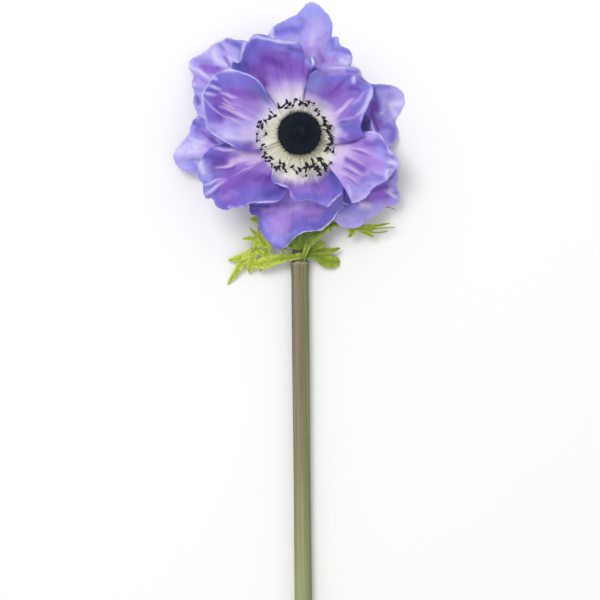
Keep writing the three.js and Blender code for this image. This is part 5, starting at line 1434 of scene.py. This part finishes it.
def lying_rings(angles):
    """The scape from its slanted cut to the collar, which flares and ends in scallops, and the thinner
    pedicel. The scape is gently ribbed along its length, and swells and thins a little."""
    scape_y = np.linspace(STEM_CUT_Y, COLLAR_Y - 1.5, SCAPE_ROWS)
    pedicel_y = np.linspace(COLLAR_Y + 1, BEND_START_Y - 0.8, PEDICEL_ROWS)
    collar_y, collar_radii = np.array(COLLAR_RINGS).T
    y = np.concatenate([np.full(len(CUT_RINGS), STEM_CUT_Y), scape_y, COLLAR_Y + collar_y, pedicel_y])
    cut_radii = STEM_RADIUS * np.array(CUT_RINGS)
    scape_radii = STEM_RADIUS + COLLAR_FLARE * smooth_step(COLLAR_Y - 6, COLLAR_Y - 1, scape_y)
    radii = np.concatenate([cut_radii, scape_radii, collar_radii, np.full(PEDICEL_ROWS, PEDICEL_RADIUS)])
    x = COLLAR_X + STEM_DRIFT * np.maximum(COLLAR_Y - y, 0)
    x += (PEDICEL_TOP_X - COLLAR_X) * np.maximum(y - COLLAR_Y, 0) / (BEND_START_Y - COLLAR_Y)
    centres = np.stack([x, y, np.full(len(y), STEM_AXIS_HEIGHT)], axis=-1)
    y = y[:, None]
    ribs = sum(depth * np.cos(count * angles + phase) for count, depth, phase in STEM_RIBS)
    ribs = ribs * smooth_step(STEM_CUT_Y + 0.2, STEM_CUT_Y + 3, y)
    swell = STEM_SWELL * np.sin(y / STEM_SWELL_LENGTH) * smooth_step(STEM_CUT_Y, STEM_CUT_Y + 20, y)
    radii = radii[:, None] + ribs + swell * (y < COLLAR_Y - 6)
    rings = ring_grid(centres, np.array([0, 1, 0]), radii, angles)
    slant = STEM_CUT_SLANT * (1 - smooth_step(STEM_CUT_Y, STEM_CUT_Y + 9, y))
    teeth = COLLAR_SCALLOP * smooth_step(COLLAR_Y - 2.2, COLLAR_Y - 0.2, y) * (y < COLLAR_Y + 0.6)
    rings[..., 1] += (rings[..., 2] - STEM_AXIS_HEIGHT) * slant + teeth * np.cos(COLLAR_TEETH * angles)
    return rings


def stem_rings(angles):
    """The scape and the pedicel, the bend, and the receptacle with its neck, as one row of rings that lies
    flat along its underside."""
    bend, way = bend_points(np.linspace(0, 1, BEND_ROWS))
    levels, radii = np.array(RECEPTACLE_RINGS).T
    bend_rings = ring_grid(bend, way, PEDICEL_RADIUS, angles)
    receptacle_rings = ring_grid(on_axis(levels), BLOOM_AXIS, radii, angles)
    rings = np.concatenate([lying_rings(angles), bend_rings, receptacle_rings])
    rings[..., 2] = np.maximum(rings[..., 2], 0)
    return rings


def stem_tint(rings, angles, settings):
    """Brown-taupe below the collar, greener further down, olive on the right, a light mauve streak left of the
    middle that is partly painted highlight, painted shade darkening the sides, a pale rim at the collar, dark
    green above it that is partly painted shade of the hollow under the bracts and petals, pale green inside
    the bloom, and pale pith at the cut."""
    brown, olive, mauve = tones(settings, "stem_brown", "stem_olive", "stem_mauve_highlight")
    green, grey, pith = tones(settings, "stem_green", "stem_grey", "pith")
    pedicel, neck = tones(settings, "pedicel", "neck")
    x, y, z = np.moveaxis(rings, -1, 0)
    side = np.broadcast_to(np.cos(angles), y.shape)
    right = smooth_step(0.05, 0.7, side)
    down = 1 - smooth_step(*STEM_GREEN_Y, y)
    tint = blend(blend(brown, olive, right), blend(green, grey, right), down)
    # A light mauve streak left of the middle, partly painted highlight.
    tint = blend(tint, mauve, 0.3 * np.exp(-(((side + 0.42) / 0.2) ** 2)) * (1 - 0.6 * down))
    # Painted shade on the stem's sides.
    tint = blend(tint, 0, 0.3 * smooth_step(0.7, 1, np.abs(side)))
    scallops = COLLAR_SCALLOP * np.cos(COLLAR_TEETH * angles)
    tint = blend(tint, pith, 0.45 * np.exp(-(((y - scallops - COLLAR_Y + 0.2) / 0.4) ** 2)))
    # Dark green above the collar, partly painted shade of the hollow under the bracts and petals.
    tint = blend(tint, pedicel, smooth_step(COLLAR_Y + 0.4, COLLAR_Y + 1.2, y))
    level = (rings - on_axis(0)) @ BLOOM_AXIS
    tint = blend(tint, neck, (y > BEND_START_Y) * smooth_step(OUTER_CLAW_LEVEL, OUTER_CLAW_LEVEL + 1, level))
    centre = COLLAR_X + (COLLAR_Y - STEM_CUT_Y) * STEM_DRIFT
    inside = 1 - np.hypot(x - centre, z - STEM_AXIS_HEIGHT) / STEM_RADIUS
    cut = (1 - smooth_step(STEM_CUT_Y + 1.6, STEM_CUT_Y + 1.9, y)) * smooth_step(0.03, 0.14, inside)
    return blend(tint, pith, cut)


class ANEMONE_OT_stem(bpy.types.Operator):
    """Make the stem, from its cut end to the receptacle"""

    bl_idname = "anemone.stem"
    bl_label = "Stem"

    def execute(self, context):
        settings = context.scene.anemone_greens
        angles = circle(STEM_SIDES)
        rings = stem_rings(angles)
        shape = Shape()
        shape.tube(rings, stem_tint(rings, angles, settings), ring_places(rings))
        shape.build("stem_skin", stem_paint(settings), "stem")
        return {"FINISHED"}


# Stamens

LONGEST_THREAD = 3.6  # between two anthers
THREAD_RADIUS = 0.21
THREAD_ARCH = 0.5
CLUB_RADIUS = 0.4
FILAMENT_ROWS = 16
FILAMENT_FLATNESS = 0.5  # share of its height that a filament keeps
FILAMENT_SWING = 1.2
FILAMENT_TAPER = 0.35
ANTHER_ROWS = 11
ANTHER_GAP = 0.3  # between an anther and a petal
LOWER_RIGHT = np.array([0.55, -0.83])
STAMEN_SEED = 7


def stamen_places(x, y, settings):
    """Heights of stamens at places round the bloom: a rise that grows outwards over the tilted plane, kept
    above the petals."""
    foot = on_axis(HUB_MIDDLE)
    reach = np.hypot(x - foot[0], y - foot[1])
    f = np.clip((reach - FILAMENT_FOOT) / (STAMEN_REACH - FILAMENT_FOOT), 0, 1.2)
    z = foot[2] + STAMEN_RISE * f**1.4 - BLOOM_TILT[0] * (x - foot[0]) - BLOOM_TILT[1] * (y - foot[1])
    clearance = ANTHER_GAP + settings.anther_radius / MM
    least = np.where(reach > HUB_RADIUS, lying.under(x, y) + clearance, NOTHING)
    return larger(z, least, 0.5)


def make_stamen(shape, end, draws, settings):
    """A flat cream thread from the hub out to its anther, green at its foot and dark at its end, a lobed dark
    body there, larger at the lower right, and a smaller one beside it. Returns the place of the first."""
    foot = on_axis(HUB_MIDDLE)[:2]
    way = np.array(end) - foot
    out = unit(way)
    t = np.linspace(0, 1, FILAMENT_ROWS)
    swing = (draws[0] - 0.5) * FILAMENT_SWING * np.sin(np.pi * t)
    start = FILAMENT_FOOT / np.hypot(*way)
    share = start + (1 - start) * t
    x = foot[0] + way[0] * share - out[1] * swing
    y = foot[1] + way[1] * share + out[0] * swing
    centres = np.stack([x, y, stamen_places(x, y, settings)], axis=-1)
    radii = settings.filament_radius / MM * (1 - FILAMENT_TAPER * t)
    rings = ring_grid(centres, unit(np.gradient(centres, axis=0)), radii, circle(7))
    rings[..., 2] += (FILAMENT_FLATNESS - 1) * (rings[..., 2] - centres[:, None, 2])
    cream, green, dark = tones(settings, "filament", "filament_foot", "anther")
    tint = blend(green, cream, smooth_step(0.1, 0.6, t)[:, None])
    tint = blend(tint, dark, smooth_step(0.86, 0.97, t)[:, None])
    shape.tube(rings, tint, ring_places(rings))
    centre = centres[-1] + np.array([0, 0, 0.15])
    lower_right = smooth_step(0.3, 0.9, out @ LOWER_RIGHT)
    size = settings.anther_radius / MM * (0.6 + 0.45 * draws[1]) * (1 + 0.2 * lower_right)
    make_anther(shape, centre, size, 1.05 + 0.6 * draws[3], 2 * np.pi * draws[2], dark)
    turn = 2 * np.pi * draws[4]
    beside = centre + (0.8 + 0.5 * draws[5]) * np.array([math.cos(turn), math.sin(turn), 0.1])
    make_anther(shape, beside, 0.55 * size, 1 + 0.6 * draws[0], turn, dark)
    return centre


def make_anther(shape, centre, size, stretch, turn, dark):
    """A dark lobed body, longer than it is thick, lying at a turn."""
    long_way = unit(np.array([math.cos(turn), math.sin(turn), 0.15]))
    a = np.linspace(0, np.pi, ANTHER_ROWS)
    along = -np.cos(a) * size * stretch
    radii = np.sqrt(np.sin(a).clip(0)) * size * (0.8 + 0.1 * np.cos(4 * a))
    rings = ring_grid(centre + along[:, None] * long_way, long_way, radii, circle(10))
    shape.tube(rings, dark, ring_places(rings))


def make_thread(shape, a, b, radius, dark):
    """A dark thread between two places, arched a little."""
    t = np.linspace(0, 1, 9)
    centres = a + (b - a) * t[:, None]
    centres[:, 2] += THREAD_ARCH * np.sin(np.pi * t)
    rings = ring_grid(centres, unit(np.gradient(centres, axis=0)), radius, circle(6))
    shape.tube(rings, dark, ring_places(rings))


class ANEMONE_OT_stamens(bpy.types.Operator):
    """Make the ring of stamens round the carpel head"""

    bl_idname = "anemone.stamens"
    bl_label = "Stamens"

    def execute(self, context):
        settings = context.scene.anemone_centre
        filament, dark = tones(settings, "filament", "anther")
        lying.settle()
        draws = np.random.default_rng(STAMEN_SEED).random((len(ANTHERS), 6))
        shape = Shape()
        levels, radii = np.array(HUB_RINGS).T
        hub = ring_grid(on_axis(levels), BLOOM_AXIS, radii, circle(48))
        shape.tube(hub, filament * 0.9, ring_places(hub), looped=True)
        ends = [make_stamen(shape, end, row, settings) for end, row in zip(ANTHERS, draws)]
        for one, other in zip(ends[::2], ends[1::2]):
            if np.linalg.norm(one - other) < LONGEST_THREAD:
                make_thread(shape, one, other, THREAD_RADIUS, dark)
        for way in CLUBS:
            x, y = np.array(way).T
            tip, end = np.stack([x, y, stamen_places(x, y, settings)], axis=-1)
            make_thread(shape, tip, end, CLUB_RADIUS, dark)
        shape.build("stamen_ring", stamen_paint(settings), "stamens")
        return {"FINISHED"}


# Carpel head

DOME_ROWS = 90
DOME_SIDES = 150
DOME_BUMP = 0.16
DOME_BUMPS = 25
DOME_STEPS = 400  # of length along its outline
BRISTLE_COUNT = 2200
BRISTLE_WIDTH = 0.13
BRISTLE_TIP = 0.02
BRISTLE_SEED = 11
GOLDEN_TURN = math.pi * (3 - math.sqrt(5))


def dome_outline(t):
    """Radius and level of the carpel head's outline, from its foot at 0 to its top at 1."""
    radius, level = evenly_along(np.array(DOME_PROFILE) * [DOME_RADIUS, DOME_HEIGHT], DOME_STEPS).T
    share = np.linspace(0, 1, DOME_STEPS)
    return np.interp(t, share, radius), np.interp(t, share, level) + DOME_FOOT


def make_bristles(shape, dark, light, reach):
    """Short pointed styles all over the head, set in a spiral, leaning outwards: four-sided spikes with light
    tips, lighter towards the top by painted sheen."""
    number = np.arange(BRISTLE_COUNT)
    draws = np.random.default_rng(BRISTLE_SEED).random((BRISTLE_COUNT, 4))
    t = 0.12 + 0.87 * (number / BRISTLE_COUNT) ** 0.8
    angle = (GOLDEN_TURN * number)[:, None]
    radius, level = dome_outline(t)
    ahead, above = dome_outline(np.minimum(t + 0.01, 1))
    across = unit(np.array([1, 0, 0]) - BLOOM_AXIS * BLOOM_AXIS[0])
    spoke = np.cos(angle) * across + np.sin(angle) * np.cross(BLOOM_AXIS, across)
    foot = on_axis(level) + DOME_OFFSET + spoke * radius[:, None]
    rise = unit(np.stack([above - level, radius - ahead], axis=-1))
    normal = unit(rise[:, :1] * spoke + rise[:, 1:] * BLOOM_AXIS + 0.5 * (draws[:, :3] - 0.5))
    side = unit(np.cross(normal, spoke + 0.3))
    other = np.cross(normal, side)
    size = reach * (0.4 + draws[:, 3]) * (1 + 0.35 * np.exp(-(((t - 0.4) / 0.12) ** 2)))
    root = foot - 0.15 * normal
    tip = foot + size[:, None] * normal
    ring = np.stack([side, other, -side, -other], axis=1)
    points = np.concatenate([root[:, None] + BRISTLE_WIDTH * ring, tip[:, None] + BRISTLE_TIP * ring], axis=1)
    corner = np.arange(4)
    onward = (corner + 1) % 4
    walls = np.stack([corner, onward, onward + 4, corner + 4], axis=-1)
    faces = np.concatenate([walls, [[3, 2, 1, 0], [4, 5, 6, 7]]])
    # Greyish tips, and painted sheen that lightens them towards the head's top.
    lightness = np.repeat([0.05, 0.6], 4) * draws[:, :1] * (1 + 2 * smooth_step(0.8, 1, t))[:, None]
    shape.add(points, faces + 8 * number[:, None, None], blend(dark, light, lightness), points[..., :2] * 0.1)


class ANEMONE_OT_carpels(bpy.types.Operator):
    """Make the dark head of carpels with its styles"""

    bl_idname = "anemone.carpels"
    bl_label = "Carpel head"

    def execute(self, context):
        settings = context.scene.anemone_centre
        dark, light = tones(settings, "carpel", "carpel_light")
        t = np.linspace(0, 1, DOME_ROWS)
        radius, level = dome_outline(t)
        angles = circle(DOME_SIDES)
        turns = 3 * (np.arange(DOME_ROWS) % 2)[:, None]
        bumps = DOME_BUMP * np.sin(np.pi * t)[:, None] * np.cos(DOME_BUMPS * angles + turns)
        radii = np.pad(radius[:, None] + bumps, ((1, 1), (0, 0)))
        centres = on_axis(np.pad(level, 1, mode="edge")) + DOME_OFFSET
        rings = ring_grid(centres, BLOOM_AXIS, radii, angles)
        # Painted sheen: the head is lighter towards its top.
        top = smooth_step(0.78, 1, np.pad(t, 1, mode="edge"))[:, None]
        shape = Shape()
        shape.tube(rings, blend(dark, light, 0.05 + 0.6 * top), ring_places(rings, 6))
        make_bristles(shape, dark, light, settings.bristle / MM)
        shape.build("carpel_velvet", carpel_paint(settings), "carpel_head")
        return {"FINISHED"}


# Stage

VIEW_CENTRE = np.array([1.2, -65.6, 0])
BLOOM_LEVEL = 18  # where the view's width is measured
SENSOR_WIDTH = 36
SIGHT = 20000  # how far the camera sees
FLOOR_REACH = 3000
LAMP_SIZE = 550
LAMP_PLACE = np.array([-380, 450, 1100])  # from the middle of the view, as is its aim
LAMP_AIM = np.array([0, 60, 0])


def make_floor(settings):
    """One square of pale floor, with very faint clouds."""
    reach = FLOOR_REACH * MM
    corners = [(-reach, -reach, 0), (reach, -reach, 0), (reach, reach, 0), (-reach, reach, 0)]
    mesh = bpy.data.meshes.new("floor")
    mesh.from_pydata(corners, [], [(0, 1, 2, 3)])
    paint = Paint("floor", specular=0.1)
    cloud = paint.noise(paint.place(), 0.01, detail=2)
    base = paint.mix(cloud * 0.03, settings.floor, [0.94 * c for c in settings.floor])
    mesh.materials.append(paint.finish(base, 0.9))
    floor = link("floor", mesh)


def make_light(settings, centre):
    """Even white light from all round, and a large soft lamp."""
    world = bpy.data.worlds.new("studio")
    world.use_nodes = True
    background = world.node_tree.nodes["Background"]
    background.inputs["Color"].default_value = (1, 1, 1, 1)
    background.inputs["Strength"].default_value = settings.sky_light
    bpy.context.scene.world = world
    lamp = bpy.data.lights.new("key", "AREA")
    lamp.shape = "DISK"
    lamp.size = LAMP_SIZE * MM
    lamp.energy = settings.key_power
    key = link("key", lamp)
    key.location = centre + LAMP_PLACE * MM
    key.rotation_euler = Vector(LAMP_AIM - LAMP_PLACE).to_track_quat("-Z", "Y").to_euler()


def make_camera(settings, centre):
    """A camera that looks straight down."""
    lens = bpy.data.cameras.new("camera")
    lens.sensor_width = SENSOR_WIDTH
    lens.lens = SENSOR_WIDTH * (settings.camera_height - BLOOM_LEVEL * MM) / settings.view_width
    lens.clip_end = SIGHT * MM
    camera = link("camera", lens)
    camera.location = (centre[0], centre[1], settings.camera_height)
    bpy.context.scene.camera = camera


class ANEMONE_OT_stage(bpy.types.Operator):
    """Make the pale floor, the soft light and the camera that looks straight down"""

    bl_idname = "anemone.stage"
    bl_label = "Floor, light and camera"

    def execute(self, context):
        settings = context.scene.anemone_stage
        centre = (VIEW_CENTRE + ORIGIN) * MM
        make_floor(settings)
        make_light(settings, centre)
        make_camera(settings, centre)
        context.scene.view_settings.view_transform = "Standard"
        return {"FINISHED"}


class ANEMONE_PT_panel(bpy.types.Panel):
    """The flower's pieces, in the order in which they are made"""

    bl_idname = "ANEMONE_PT_panel"
    bl_label = "Anemone"
    bl_space_type = "VIEW_3D"
    bl_region_type = "UI"
    bl_category = "Anemone"

    def draw(self, context):
        for operator in OPERATORS:
            self.layout.operator(operator.bl_idname)
        for group in GROUPS:
            settings = getattr(context.scene, group)
            box = self.layout.box()
            for name in settings.bl_rna.properties.keys():
                if name not in ("rna_type", "name"):
                    box.prop(settings, name)


GROUPS = {
    "anemone_petals": PetalSettings,
    "anemone_centre": CentreSettings,
    "anemone_greens": GreenSettings,
    "anemone_stage": StageSettings,
}
# Petals come after the bracts that they rest on, and stamens after the petals.
OPERATORS = [
    ANEMONE_OT_stage,
    ANEMONE_OT_stem,
    ANEMONE_OT_bracts,
    ANEMONE_OT_petals,
    ANEMONE_OT_stamens,
    ANEMONE_OT_carpels,
]


def register():
    for group, settings in GROUPS.items():
        bpy.utils.register_class(settings)
        setattr(bpy.types.Scene, group, bpy.props.PointerProperty(type=settings))
    for operator in OPERATORS:
        bpy.utils.register_class(operator)
    bpy.utils.register_class(ANEMONE_PT_panel)


def unregister():
    bpy.utils.unregister_class(ANEMONE_PT_panel)
    for operator in reversed(OPERATORS):
        bpy.utils.unregister_class(operator)
    for group, settings in GROUPS.items():
        delattr(bpy.types.Scene, group)
        bpy.utils.unregister_class(settings)


def main():
    register()
    bpy.ops.anemone.stage()
    bpy.ops.anemone.stem()
    bpy.ops.anemone.bracts()
    bpy.ops.anemone.petals()
    bpy.ops.anemone.stamens()
    bpy.ops.anemone.carpels()


if __name__ == "__main__":
    main()
